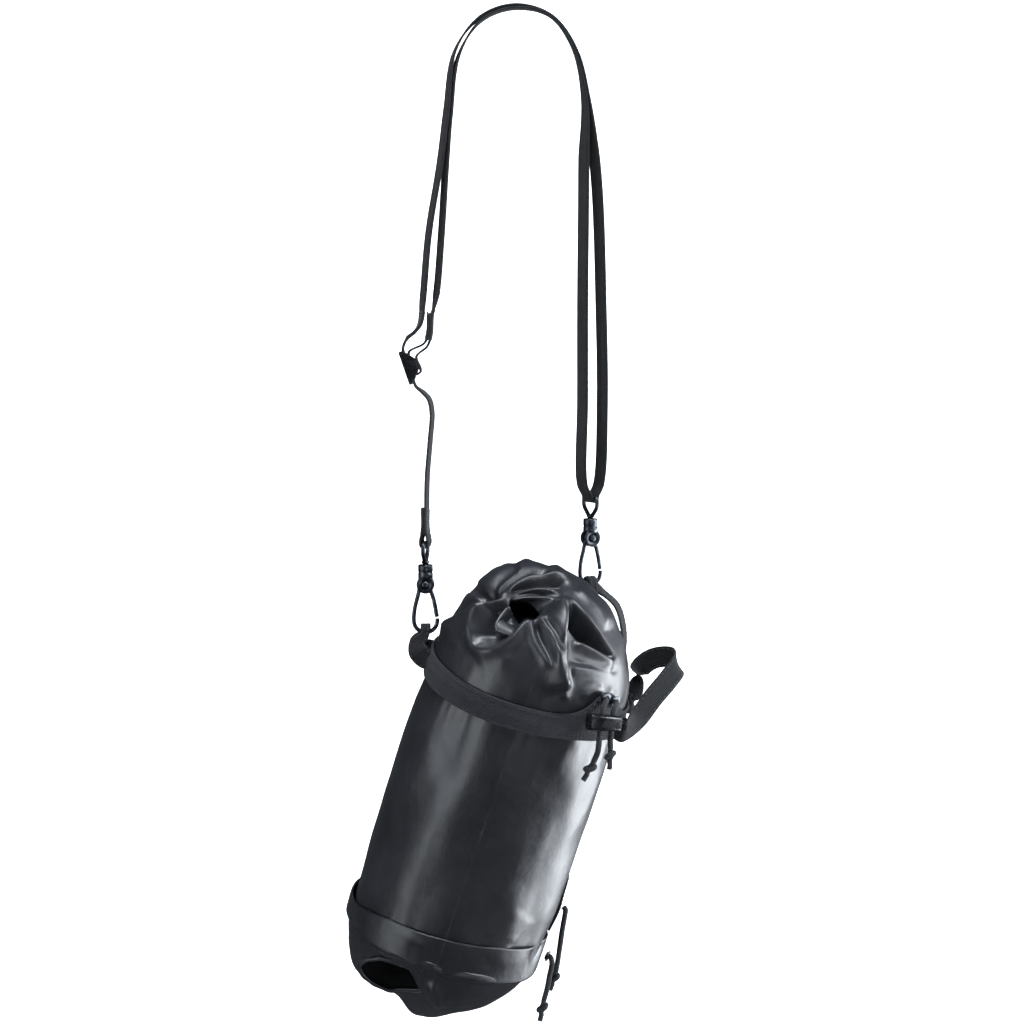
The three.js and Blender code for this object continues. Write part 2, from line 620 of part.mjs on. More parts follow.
// One length of webbing: from the left hook up through the adjuster, over the top, down
// round the right hook's eye, back over the top and down to the adjuster's centre bar.
function strapWebbing() {
  const loopRadius = WIRE_RADIUS + LAYER_GAP + WEBBING_THICKNESS / 2;
  const leftAcross = acrossAt(LEFT_EYE_TURN);
  const rightAcross = acrossAt(RIGHT_EYE_TURN);
  const flat = acrossAt(0);
  const left = (x, z, across = leftAcross) => [upLeft(x, z), across];
  const run = (bar, x, z, across, offset = 0) => [
    vec(bar.x * x - offset * Math.sign(bar.x), bar.y * z, bar.z * z), across];
  const half = LAYER / 2;

  const hookEnd = [
    left(-half, 25), ...barLoop(LEFT_BAR, loopRadius, leftAcross, half), left(half, 25),
    left(1.4, 46), left(3.5, 72), left(4.8, 91), left(2.8, 100.5), left(-1.6, 105.5),
  ];
  const through = [-14, -7, 0, 7, 13].map((z) => [adjusterPoint(ADJUSTER_STRAND, z), flat]);
  const leftUp = [
    left(-12.6, 142.8, flat), left(-7.4, 147.2, flat), left(-3.6, 153, flat),
    left(-1.6, 170, flat),
    run(LEFT_BAR, 0.96, 0.4225, flat), run(LEFT_BAR, 0.832, 0.2914, flat),
    run(LEFT_BAR, 0.762, 0.198, flat), run(LEFT_BAR, 0.667, 0.0856, flat),
    run(LEFT_BAR, 0.389, 0.0245, flat),
  ];
  const top = (drop) => [vec(0, 0, -WEBBING_THICKNESS / 2 - drop), flat];
  const turning = acrossAt(RIGHT_EYE_TURN * 0.5);
  const rightDown = (offset, splay) => [
    run(RIGHT_BAR, 0.47, 0.0235, flat, offset * 0.4),
    run(RIGHT_BAR, 0.79, 0.09, flat, offset),
    run(RIGHT_BAR, 0.935, 0.19, turning, offset),
    run(RIGHT_BAR, 1.03, 0.305, rightAcross, offset + splay * 0.5),
    run(RIGHT_BAR, 1.08, 0.4, rightAcross, offset + splay * 0.75),
    run(RIGHT_BAR, 1.125, 0.6, rightAcross, offset + splay),
    run(RIGHT_BAR, 1.15, 0.8, rightAcross, offset + splay * 1.1),
  ];
  const splay = 11;
  const bend = barLoop(RIGHT_BAR, loopRadius, rightAcross, 6.8).reverse();
  const innerLeft = (x, z, apart) => run(LEFT_BAR, x, z, flat, -LAYER - apart);
  const lowered = (stops) => stops.map(([point, across]) => [point.clone().add(vec(0, 0, -LAYER)), across]);
  const leftDown = [
    ...lowered([run(LEFT_BAR, 0.37, 0.0245, flat)]),
    run(LEFT_BAR, 0.655, 0.093, flat, LAYER), run(LEFT_BAR, 0.762, 0.2, flat, LAYER + 0.3),
    run(LEFT_BAR, 0.832, 0.2914, flat, LAYER + 2), run(LEFT_BAR, 0.93, 0.4225, flat, 7),
    left(7.9, 174, flat), left(4.9, 158, flat), left(4.1, 146, flat), left(1.6, 137.5, flat),
  ];
  const tailSide = CENTRE_BAR - LOOP_RADIUS;
  const barLow = -ADJUSTER_TRAVEL;
  const sewnEnd = [
    adjusterPoint(CENTRE_BAR + LOOP_RADIUS, ADJUSTER_TRAVEL + 1),
    adjusterPoint(CENTRE_BAR + LOOP_RADIUS, barLow),
    adjusterPoint(CENTRE_BAR + LOOP_RADIUS * 0.71, barLow - LOOP_RADIUS * 0.71),
    adjusterPoint(CENTRE_BAR, barLow - LOOP_RADIUS),
    adjusterPoint(CENTRE_BAR - LOOP_RADIUS * 0.71, barLow - LOOP_RADIUS * 0.71),
    adjusterPoint(tailSide, barLow), adjusterPoint(tailSide, ADJUSTER_TRAVEL + 1),
    adjusterPoint(tailSide + 1.6, ADJUSTER_TRAVEL + 6),
  ].map((point) => [point, flat]);
  const tail = [left(-0.6, 139.5, flat), left(1.9, 147, flat), left(2.5, 160, flat)];
  return ribbon([
    ...hookEnd, ...through, ...leftUp, top(0), ...rightDown(0, 0), ...bend,
    ...rightDown(LAYER, splay).reverse(), top(LAYER), ...leftDown, ...sewnEnd, ...tail,
  ]);
}

// ---- webbing loops on the rim ----------------------------------------------------------

const END_RADIUS = TAPE_OUTSIDE + FIT_GAP + 0.2;    // a strip that leaves the tape end on
const ROOT_RADIUS = END_RADIUS + WEBBING_THICKNESS / 2 + WEBBING_WIDTH ** 2 / (8 * TAPE_OUTSIDE);

function leftWebTab() {
  const rise = WIRE_RADIUS + BOW_CLEARANCE + BUNCHED[1] / 2;
  const root = (degrees, lift = 0) => [sidePoint(degrees, END_RADIUS + lift, CHANNEL_CENTRE), BAG_AXIS];
  const near = (x, y, z, across, width, thickness) => [
    vec(x, y, z).add(LEFT_BOW), across, width, thickness];
  const flat = vec(1, 0, 0);
  const half = vec(0.9, 0, 0.45);
  return ribbon([
    root(-81), root(-82, 2.5), near(-4.6, -8.6, -12, half), near(-5.4, -6.6, -7, flat, 12, 2),
    near(-1, -4.6, -1.5, flat, ...BUNCHED), near(0, -3, rise - 1.4, flat, ...BUNCHED),
    near(0, 0, rise, flat, ...BUNCHED), near(0, 3, rise - 1.4, flat, ...BUNCHED),
    near(-1, 4.6, -1.5, flat, ...BUNCHED), near(-5.4, 6.6, -7, flat, 12, 2),
    near(-4.6, 8.6, -12, half), root(-98, 2.5), root(-99),
  ]);
}

function backWebLoop() {
  const turn = THREE.MathUtils.degToRad(RIGHT_HOOK_TURN);
  const along = vec(Math.cos(turn), Math.sin(turn), 0);
  const through = vec(-Math.sin(turn), Math.cos(turn), 0);
  const rise = WIRE_RADIUS + BOW_CLEARANCE + BUNCHED[1] / 2;
  const near = (t, z) => [
    RIGHT_BOW.clone().addScaledVector(through, t).add(vec(0, 0, z)), along, ...BUNCHED];
  const edgeOn = vec(0.25, 0.97, 0);
  const out = (x, y, z, across = edgeOn, width = WEBBING_WIDTH) => [
    vec(x, y, z).add(RIGHT_BOW), across, width];
  return ribbon([
    [sidePoint(163, ROOT_RADIUS, CHANNEL_CENTRE), roundSide(163).negate()],
    [sidePoint(163, ROOT_RADIUS, 22), roundSide(163).negate()],
    [bagPoint(25, BODY_RADIUS - 5, 48), roundSide(163).negate()],
    near(-4.8, -5), near(-3.2, rise - 1.6), near(0, rise), near(3.2, rise - 1.6),
    [vec(4, 6.6, -2).add(RIGHT_BOW), vec(0.6, 0.8, 0), 9, 2.4],
    out(10, 9, -7), out(20, 9, -17), out(25, 9.5, -40), out(22, 5.5, -58),
    [sidePoint(125, ROOT_RADIUS, 14), roundSide(125)],
    [sidePoint(125, ROOT_RADIUS, CHANNEL_CENTRE - 3), roundSide(125)],
  ]);
}

function handleLoop() {
  const radius = END_RADIUS + HANDLE_LIFT;
  const front = (lift) => [sidePoint(HANDLE_FRONT, radius + lift, CHANNEL_CENTRE + 1), BAG_AXIS];
  const rear = (lift) => [sidePoint(HANDLE_REAR, radius + lift, CHANNEL_CENTRE + 4), BAG_AXIS];
  const out = (x, y, z, across) => [vec(x, y, z).add(rear(0)[0]), across];
  return ribbon([
    front(0), front(4),
    out(6, -41, -4, vec(-0.45, 0, 0.9)), out(17, -32, 9, vec(-0.6, 0, 0.8)),
    out(28, -22, 20, vec(-0.6, 0.1, 0.8)), out(35, -12.5, 28.5, vec(-0.4, 0.2, 0.9)),
    out(31.5, -2.5, 33, vec(-0.1, 0.1, 1)), out(19, 4.5, 31, vec(0, 0, 1)),
    out(9.5, 7, 23, vec(0.1, 0, 1)), out(6.6, 4, 10, vec(0.4, 0, 0.9)),
    rear(4), rear(0),
  ]);
}

function lowerSideLoop() {
  const radius = BODY_RADIUS + BODY_BELLY + FIT_GAP + WEBBING_THICKNESS / 2;
  const across = roundSide(SIDE_LOOP_SIDE);
  const stop = (lift, height) => [sidePoint(SIDE_LOOP_SIDE, radius + lift, height), across];
  const bottom = CUFF_TOP + 2;
  return ribbon([stop(0, bottom + 38), stop(0.6, bottom + 26), stop(1.4, bottom + 13), stop(0, bottom)]);
}

// ---- cord lock -------------------------------------------------------------------------
// Lock frame: X along the barrel, Z along the cords.

const LOCK_CENTRE = sidePoint(42.5, TAPE_OUTSIDE + 10.3, 17);
const PLUNGER_DEPTH = CORD_DIAMETER + 2 * CORD_PLAY + 2;
const LOCK_DEPTH = PLUNGER_DEPTH + 2 * PIVOT_PLAY + 2 * LOCK_WALL;
const CORD_HOLE = CORD_RADIUS + CORD_PLAY;

const lock = new THREE.Group();
lock.position.copy(LOCK_CENTRE);
lock.rotation.set(0, LOCK_LEAN, LOCK_TURN, "ZYX");
lock.updateMatrixWorld();
const lockPoint = (x, y, z) => vec(x, y, z).applyMatrix4(lock.matrixWorld);

const PLUNGER_LEFT = -CORD_SPACING / 2 - CORD_HOLE - 1;
const BARREL_LEFT = PLUNGER_LEFT - LOCK_TRAVEL - SPRING_PRESSED - LOCK_WALL;
const BARREL_RIGHT = BARREL_LEFT + LOCK_LENGTH;

function lockBarrel() {
  const round = 2.6;
  const outline = new THREE.Shape();
  const w = LOCK_DEPTH / 2;
  const h = LOCK_HEIGHT / 2;
  outline.moveTo(w - round, -h);
  outline.absarc(w - round, -h + round, round, -Math.PI / 2, 0);
  outline.absarc(w - round, h - round, round, 0, Math.PI / 2);
  outline.absarc(-w + round, h - round, round, Math.PI / 2, Math.PI);
  outline.absarc(-w + round, -h + round, round, Math.PI, 1.5 * Math.PI);
  const options = { depth: LOCK_LENGTH, bevelEnabled: false, curveSegments: 4 };
  const casing = new THREE.ExtrudeGeometry(outline, options)
    .applyMatrix4(new THREE.Matrix4().makeBasis(vec(0, 1, 0), vec(0, 0, 1), vec(1, 0, 0)))
    .translate(BARREL_LEFT, 0, 0);
  const cavity = block(LOCK_LENGTH, PLUNGER_DEPTH + 2 * PIVOT_PLAY, PLUNGER_HEIGHT + 2 * PIVOT_PLAY,
    BARREL_LEFT + LOCK_WALL + LOCK_LENGTH / 2, 0, 0);
  const holes = [-1, 1].map((side) => rod(CORD_HOLE, LOCK_HEIGHT + 2, vec(0, 0, 1),
    vec((side * CORD_SPACING) / 2, 0, 0), 16));
  return joinAndCut([casing], [cavity, ...holes]);
}

function lockButton() {
  const stem = BARREL_RIGHT + LOCK_TRAVEL + FIT_GAP - PLUNGER_LEFT;
  const body = block(stem, PLUNGER_DEPTH, PLUNGER_HEIGHT, PLUNGER_LEFT + stem / 2, 0, 0);
  const headAt = PLUNGER_LEFT + stem + BUTTON_HEAD / 2 - 0.2;
  const head = block(BUTTON_HEAD, LOCK_DEPTH - 1.6, LOCK_HEIGHT - 2.6, headAt, 0, 0);
  const slots = [-1, 1].map((side) => block(2 * CORD_HOLE + LOCK_TRAVEL, 2 * CORD_HOLE,
    PLUNGER_HEIGHT + 2, (side * CORD_SPACING) / 2 + LOCK_TRAVEL / 2, 0, 0));
  return joinAndCut([body, head], slots);
}

// The spring at its pressed length, so that the button can go all the way in.
function lockSpring() {
  const left = BARREL_LEFT + LOCK_WALL + 0.1;
  const turns = 2.2;
  const steps = 26;
  const length = SPRING_PRESSED - 2 * SPRING_WIRE - 0.3;
  const outlines = Array.from({ length: steps + 1 }, (_, i) => {
    const turn = (2 * Math.PI * turns * i) / steps;
    const outward = vec(0, Math.cos(turn), Math.sin(turn));
    const centre = outward.clone().multiplyScalar(1.9);
    centre.x = left + SPRING_WIRE + (length * i) / steps;
    return circlePoints(centre, vec(1, 0, 0), outward, SPRING_WIRE, 6);
  });
  return loft(outlines);
}

// ---- cords -----------------------------------------------------------------------------
// Each tail's points are chosen by hand from its exit down to its knot.

const nearLock = (x, y, z) => vec(x, y, z).add(LOCK_CENTRE);
const lockHole = (side, z) => lockPoint((side * CORD_SPACING) / 2, 0, z);
const rimExit = (i, lift) => sidePoint(EYELET_SIDES[i], GUSSET_RADIUS + lift, EYELET_HEIGHTS[i]);
const lowerExit = (lift) => sidePoint(
  LOWER_EXIT_SIDE, LOWER_CORD_RING + CORD_RADIUS + FIT_GAP + lift, LOWER_CORD_HEIGHT);
const LOOP_EXIT = sidePoint(
  SIDE_LOOP_SIDE, BODY_RADIUS + BODY_BELLY + LAYER + CORD_RADIUS + 2.2, CUFF_TOP + CUFF_WIDTH);
const underLowerExit = (x, y, z) => vec(x, y, z).add(lowerExit(0));
const underLoopExit = (x, y, z) => vec(x, y, z).add(LOOP_EXIT);

const RIM_TAIL_1 = [
  rimExit(0, 0), rimExit(0, 4), nearLock(-1.2, -3.2, 16),
  ...[10.4, 5, 0, -6, -13].map((z) => lockHole(-1, z)),
  nearLock(-7.6, -0.6, -20.6), nearLock(-9.6, 1.2, -26.5),
];
const RIM_TAIL_2 = [
  rimExit(1, 0), rimExit(1, 4), nearLock(7.6, 1.4, 13.6),
  ...[9.4, 5, 0, -6, -12].map((z) => lockHole(1, z)), nearLock(0.6, 3.6, -17.2),
];
const LOWER_TAIL_1 = [
  lowerExit(0), lowerExit(3.6), underLowerExit(4.2, -1.7, -5.4), underLowerExit(2.6, -1.6, -14),
  underLowerExit(0.8, -1.4, -24), underLowerExit(-1.6, -1.2, -33),
];
const LOWER_TAIL_2 = [
  LOOP_EXIT, underLoopExit(1.6, -0.4, -2), underLoopExit(1.2, -1.4, -6),
  underLoopExit(-0.6, -3, -16), underLoopExit(-2.6, -3.6, -30), underLoopExit(-4.4, -4, -42),
  underLoopExit(-5.2, -4, -46.5),
];

// A stopper knot with its short end, on from the last stretch of a tail.
function knot(tail, length, lean) {
  const last = tail[tail.length - 1];
  const profile = [
    [0, 0], [CORD_RADIUS, -0.1], [CORD_RADIUS * 1.9, -2.6], [CORD_RADIUS * 2.05, -5],
    [CORD_RADIUS * 1.7, -8], [CORD_RADIUS * 1.05, -9.6], [CORD_RADIUS * 1.05, -length], [0, -length],
  ];
  const geometry = turned(profile, 12);
  const down = last.clone().sub(tail[tail.length - 2]).normalize().add(vec(lean, 0, 0)).normalize();
  geometry.applyQuaternion(new THREE.Quaternion().setFromUnitVectors(vec(0, 0, -1), down));
  const start = last.clone().addScaledVector(down, FIT_GAP);
  return geometry.translate(start.x, start.y, start.z);
}

// ---- assembly --------------------------------------------------------------------------

bag.add(
  piece("body_panel", bodyPanel(), COATED),
  piece("base_panel", basePanel(), COATED),
  piece("collar", collar(), COATED),
  piece("rim_tape", rimTape(), TAPE),
  piece("channel_lining", channelLining(), TAPE),
  piece("rim_drawcord", cordRing(CORD_RING_RADIUS, CHANNEL_CENTRE), CORD),
  piece("cord_gusset", cordGusset(), TAPE),
  piece("lower_cuff", lowerCuff(), COATED),
  piece("lower_drawcord", cordRing(LOWER_CORD_RING, LOWER_CORD_HEIGHT), CORD),
  piece("lower_sleeve", lowerSleeve(), COATED),
  piece("sleeve_hem", sleeveHem(), COATED),
);
EYELET_SIDES.forEach((degrees, i) => {
  const seat = GUSSET_RADIUS + GUSSET_THICKNESS - 0.6;
  bag.add(piece(`rim_eyelet_${i + 1}`, eyelet(degrees, seat, EYELET_HEIGHTS[i], 1.6), DARK_METAL));
});
bag.add(piece("lower_eyelet", eyelet(LOWER_EXIT_SIDE,
  LOWER_CORD_RING + CORD_RADIUS + CORD_PLAY + 0.4, LOWER_CORD_HEIGHT, 0.3), DARK_METAL));

lock.add(
  piece("cord_lock_barrel", lockBarrel(), PLASTIC),
  piece("cord_lock_button", lockButton(), PLASTIC),
  piece("cord_lock_spring", lockSpring(), DARK_METAL),
);

const adjusterGroup = new THREE.Group();
adjusterGroup.position.copy(ADJUSTER_PLACE);
adjusterGroup.rotation.y = ADJUSTER_TILT;
adjusterGroup.add(piece("strap_adjuster", adjuster(), PLASTIC));

const ropeBag = new THREE.Group();
ropeBag.add(
  piece("strap_webbing", strapWebbing(), WEBBING),
  adjusterGroup,
  ...snapHook("left", LEFT_BAR, LEFT_EYE_TURN, 0),
  ...snapHook("right", RIGHT_BAR, RIGHT_EYE_TURN, RIGHT_HOOK_TURN),
  bag,
  piece("left_web_tab", leftWebTab(), WEBBING),
  piece("back_web_loop", backWebLoop(), WEBBING),
  piece("handle_loop", handleLoop(), WEBBING),
  piece("lower_side_loop", lowerSideLoop(), WEBBING),
  lock,
);
const TAILS = [
  ["rim_cord", 1, RIM_TAIL_1, 14, -0.1], ["rim_cord", 2, RIM_TAIL_2, 12, -0.1],
  ["lower_cord", 1, LOWER_TAIL_1, 15, 0.1], ["lower_cord", 2, LOWER_TAIL_2, 14, -0.1],
];
for (const [name, number, points, length, lean] of TAILS) {
  ropeBag.add(
    piece(`${name}_tail_${number}`, cord(points, 16), CORD),
    piece(`${name}_knot_${number}`, knot(points, length, lean), CORD),
  );
}

export default ropeBag;
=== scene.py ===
"""Rope storage bag hung by its doubled shoulder strap. Metres, +Z up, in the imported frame.

The sizes and routes below are in millimetres, as the maker's drawing has them, and points()
turns them into metres where a mesh is made.
"""

import json
import math

import bpy
import numpy as np
from mathutils import Matrix, Vector, noise


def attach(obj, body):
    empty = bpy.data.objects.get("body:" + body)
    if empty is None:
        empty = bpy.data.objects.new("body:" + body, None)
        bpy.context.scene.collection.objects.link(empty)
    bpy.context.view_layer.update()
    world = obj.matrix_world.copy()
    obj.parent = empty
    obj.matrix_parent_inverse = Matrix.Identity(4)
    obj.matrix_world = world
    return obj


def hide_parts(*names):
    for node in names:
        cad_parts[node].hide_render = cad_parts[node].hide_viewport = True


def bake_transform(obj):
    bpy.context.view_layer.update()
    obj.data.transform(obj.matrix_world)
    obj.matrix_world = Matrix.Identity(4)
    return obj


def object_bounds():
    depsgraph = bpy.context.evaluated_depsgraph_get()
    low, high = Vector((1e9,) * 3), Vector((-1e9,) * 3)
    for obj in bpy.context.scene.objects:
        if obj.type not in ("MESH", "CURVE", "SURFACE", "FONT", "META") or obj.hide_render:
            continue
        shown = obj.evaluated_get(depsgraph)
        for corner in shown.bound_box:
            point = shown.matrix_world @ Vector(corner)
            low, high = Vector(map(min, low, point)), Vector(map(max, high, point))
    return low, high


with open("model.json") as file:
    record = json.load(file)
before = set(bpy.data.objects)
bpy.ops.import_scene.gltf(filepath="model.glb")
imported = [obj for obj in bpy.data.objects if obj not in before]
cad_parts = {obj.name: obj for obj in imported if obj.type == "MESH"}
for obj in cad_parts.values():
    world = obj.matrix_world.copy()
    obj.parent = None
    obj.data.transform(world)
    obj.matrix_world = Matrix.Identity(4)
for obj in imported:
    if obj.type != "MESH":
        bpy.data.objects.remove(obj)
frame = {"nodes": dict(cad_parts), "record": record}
cad_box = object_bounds()

MM = 0.001


# ---- sizes shared with the frame, in millimetres ------------------------------------------

BODY_RADIUS = 70
BODY_HEIGHT = 183
BODY_BELLY = 1.5  # how far the filled wall stands out halfway up
TAPE_OUTSIDE = 72.6  # radius of the rim tape's face
CHANNEL_CENTRE = 4  # height of the rim drawcord over the wall's top seam
CORD_DIAMETER = 4
WEBBING_WIDTH = 15
WEBBING_THICKNESS = 1.6
LAYER = 2.0  # from one layer of webbing to the next
WALL_THICKNESS = 0.9
GATHERED_THICKNESS = 0.8
FIT_GAP = 0.3
CORD_PLAY = 0.3
LAYER_GAP = 0.4
BOW_CLEARANCE = 1.9  # between a bow's wire and the webbing in it
BUNCHED = (7, 3)  # width and thickness of webbing in a hook's bow
WIRE_RADIUS = 1.5
HOOK_REACH = 62.8  # from the eye's bar down to the bow's wire
BOW_RADIUS = 8.2
HEAD_RADIUS = 6.3
HEAD_HEIGHT = -28.9
HEAD_THICKNESS = 8
EYELET_SIDES = (43, 52)  # degrees from the front towards +X
EYELET_HEIGHTS = (31, 28)
LOWER_EXIT_SIDE = 70
SIDE_LOOP_SIDE = 97
RIM_CENTRE = Vector((7.1, -20, -479.5))  # origin of the bag's own frame
BAG_TURN = Matrix.Rotation(math.radians(18), 3, "Y") @ Matrix.Rotation(math.radians(10), 3, "X")
BAG_AXIS = BAG_TURN @ Vector((0, 0, 1))
TURN_ARRAY = np.array(BAG_TURN)
EYE = Vector((-2.1, -1706.0, -205.4))  # where the camera stands


def bag_point(x, y, z):
    return RIM_CENTRE + BAG_TURN @ Vector((x, y, z))


def side_point(degrees, radius, height):
    turn = math.radians(degrees)
    return bag_point(radius * math.sin(turn), -radius * math.cos(turn), height)


def round_side(degrees):
    turn = math.radians(degrees)
    return BAG_TURN @ Vector((math.cos(turn), math.sin(turn), 0))


# ---- camera, light and backdrop -----------------------------------------------------------


def make_camera():
    camera = bpy.data.objects.new("camera", bpy.data.cameras.new("camera"))
    bpy.context.scene.collection.objects.link(camera)
    camera.location = EYE * MM
    camera.rotation_euler = (math.radians(85), 0, 0)
    camera.data.lens = 85
    camera.data.sensor_width = 36
    camera.data.clip_end = 50
    bpy.context.scene.camera = camera


def make_lamp(name, place, target, size, power):
    lamp = bpy.data.lights.new(name, "AREA")
    lamp.shape = "RECTANGLE"
    lamp.size, lamp.size_y = size
    lamp.energy = power
    lamp.color = (0.9, 0.95, 1.0)
    holder = bpy.data.objects.new(name, lamp)
    bpy.context.scene.collection.objects.link(holder)
    holder.location = place
    aim = Vector(target) - Vector(place)
    holder.rotation_euler = aim.to_track_quat("-Z", "Y").to_euler()


make_camera()
bpy.context.scene.view_settings.view_transform = "Standard"


# ---- meshes -------------------------------------------------------------------------------


def points(array):
    """Millimetres to metres, as plain tuples."""
    return [tuple(float(c) * MM for c in p) for p in array]


def mesh_object(name, corners, faces, lay=None):
    """A smooth mesh. lay holds each corner's place on the flat cloth, in millimetres."""
    mesh = bpy.data.meshes.new(name)
    mesh.from_pydata(points(corners), [], faces)
    mesh.polygons.foreach_set("use_smooth", [True] * len(mesh.polygons))
    if lay is not None:
        attribute = mesh.attributes.new("lay", "FLOAT_VECTOR", "POINT")
        flat = np.zeros((len(corners), 3))
        flat[:, : np.shape(lay)[1]] = lay
        attribute.data.foreach_set("vector", flat.ravel().astype(np.float32))
    mesh.update()
    piece = bpy.data.objects.new(name, mesh)
    bpy.context.scene.collection.objects.link(piece)
    return piece


def grid_faces(rows, columns, ring):
    """Quads of a grid of corners whose columns close on themselves where ring is true."""
    faces = []
    for row in range(rows - 1):
        for column in range(columns if ring else columns - 1):
            right = (column + 1) % columns
            faces.append((row * columns + column, row * columns + right,
                          (row + 1) * columns + right, (row + 1) * columns + column))
    return faces


def capped_faces(rows, count):
    """Faces of a closed tube with both its ends capped."""
    last = (rows - 1) * count
    return grid_faces(rows, count, True) + [
        tuple(reversed(range(count))), tuple(last + i for i in range(count))]


def ring_faces(rows, count):
    """Faces of a tube whose last outline joins its first."""
    last = (rows - 1) * count
    return grid_faces(rows, count, True) + [
        (last + i, last + (i + 1) % count, (i + 1) % count, i) for i in range(count)]


def swept(name, outlines, lay=None, is_ring=False):
    """Skins a row of closed outlines with the same number of points."""
    rows, count = len(outlines), len(outlines[0])
    corners = [p for outline in outlines for p in outline]
    faces = ring_faces(rows, count) if is_ring else capped_faces(rows, count)
    return mesh_object(name, corners, faces, lay)


def joined(name, pieces):
    """One object made of several."""
    first = pieces[0]
    with bpy.context.temp_override(active_object=first, selected_editable_objects=pieces):
        bpy.ops.object.join()
    first.name = name
    return first


def smooth_route(stops, per_span, is_ring=False):
    """Points along a smooth curve through the stops, each with its place among them."""
    stops = [Vector(s) for s in stops]
    count = len(stops)
    made = []
    spans = count if is_ring else count - 1
    for span in range(spans):
        if is_ring:
            p0, p1, p2, p3 = (stops[(span + k) % count] for k in (-1, 0, 1, 2))
        else:
            p1, p2 = stops[span], stops[span + 1]
            p0 = stops[span - 1] if span else 2 * p1 - p2
            p3 = stops[span + 2] if span + 2 < count else 2 * p2 - p1
        d0, d1, d2 = (max((b - a).length ** 0.5, 1e-3) for a, b in ((p0, p1), (p1, p2), (p2, p3)))
        t1 = ((p1 - p0) / d0 - (p2 - p0) / (d0 + d1) + (p2 - p1) / d1) * d1
        t2 = ((p2 - p1) / d1 - (p3 - p1) / (d1 + d2) + (p3 - p2) / d2) * d1
        for step in range(per_span):
            t = step / per_span
            made.append(((2 * t**3 - 3 * t**2 + 1) * p1 + (t**3 - 2 * t**2 + t) * t1
                         + (3 * t**2 - 2 * t**3) * p2 + (t**3 - t**2) * t2, span + t))
    if not is_ring:
        made.append((stops[-1], float(count - 1)))
    return made


def headings(route, is_ring=False):
    """The direction of travel at each point of a route."""
    last = len(route) - 1
    if is_ring:
        return [(route[(i + 1) % len(route)] - route[i - 1]).normalized() for i in range(len(route))]
    return [(route[min(i + 1, last)] - route[max(i - 1, 0)]).normalized() for i in range(len(route))]


STRIP_SECTION = [
    (1, 0), (0.985, 0.62), (0.93, 0.96), (0.6, 1), (0.2, 1), (-0.2, 1), (-0.6, 1), (-0.93, 0.96),
    (-0.985, 0.62), (-1, 0), (-0.985, -0.62), (-0.93, -0.96), (-0.6, -1), (-0.2, -1), (0.2, -1),
    (0.6, -1), (0.93, -0.96), (0.985, -0.62),
]


def strip(name, stops, per_span=8):
    """Webbing along its stops: (centre, direction across, width, thickness), the last two optional.
    Returns the piece and its samples: (centre, heading, across, outward, width, thickness)."""
    path = smooth_route([s[0] for s in stops], per_span)
    ways = headings([p for p, _ in path])
    outlines, lay, samples = [], [], []
    travelled = 0
    for i, ((centre, place), along) in enumerate(zip(path, ways)):
        before = min(int(place), len(stops) - 2)
        share = place - before
        here, there = stops[before], stops[before + 1]
        across = Vector(here[1]).lerp(Vector(there[1]), share)
        across = (across - along * across.dot(along)).normalized()
        outward = along.cross(across)
        sizes = []
        for k, usual in ((2, WEBBING_WIDTH), (3, WEBBING_THICKNESS)):
            a = here[k] if len(here) > k else usual
            b = there[k] if len(there) > k else usual
            sizes.append(a + (b - a) * share)
        travelled += (centre - path[i - 1][0]).length if i else 0
        outlines.append([centre + across * (a * sizes[0] / 2) + outward * (o * sizes[1] / 2)
                         for a, o in STRIP_SECTION])
        lay += [(a * WEBBING_WIDTH / 2, travelled, o * sizes[1] / 2) for a, o in STRIP_SECTION]
        samples.append((centre, along, across, outward, sizes[0], sizes[1]))
    return swept(name, outlines, lay), samples


def tube(name, route, radius, sides=16, is_ring=False, swell=None, first=None):
    """A round tube along a route. swell(turn, travelled) scales its radius."""
    ways = headings(route, is_ring)
    side = Vector(first or (0.3, 0.2, 1))
    outlines, lay = [], []
    travelled = 0
    for i, (centre, along) in enumerate(zip(route, ways)):
        side = (side - along * side.dot(along)).normalized()
        other = along.cross(side)
        travelled += (centre - route[i - 1]).length if i else 0
        outline = []
        for k in range(sides):
            turn = 2 * math.pi * k / sides
            r = radius * (swell(turn, travelled) if swell else 1)
            outline.append(centre + side * (r * math.cos(turn)) + other * (r * math.sin(turn)))
            lay.append((turn * radius, travelled, 0))
        outlines.append(outline)
    return swept(name, outlines, lay, is_ring)


def turned(name, profile, place, axis, sides=48):
    """A profile of (radius, height) turned about an axis through a place. It starts and ends on
    the axis, or closes on itself."""
    turn = Vector(axis).to_track_quat("Z", "Y").to_matrix()
    corners, lay = [], []
    for k in range(sides):
        angle = 2 * math.pi * k / sides
        for r, h in profile:
            corners.append(Vector(place) + turn @ Vector((r * math.cos(angle), r * math.sin(angle), h)))
            lay.append((r * angle, h, 0))
    count = len(profile)
    faces = []
    for k in range(sides):
        a, b = k * count, (k + 1) % sides * count
        for i in range(count - 1):
            faces.append((a + i, b + i, b + i + 1, a + i + 1))
    piece = mesh_object(name, corners, faces, lay)
    weld = piece.modifiers.new("weld", "WELD")
    weld.merge_threshold = 1e-6
    return piece


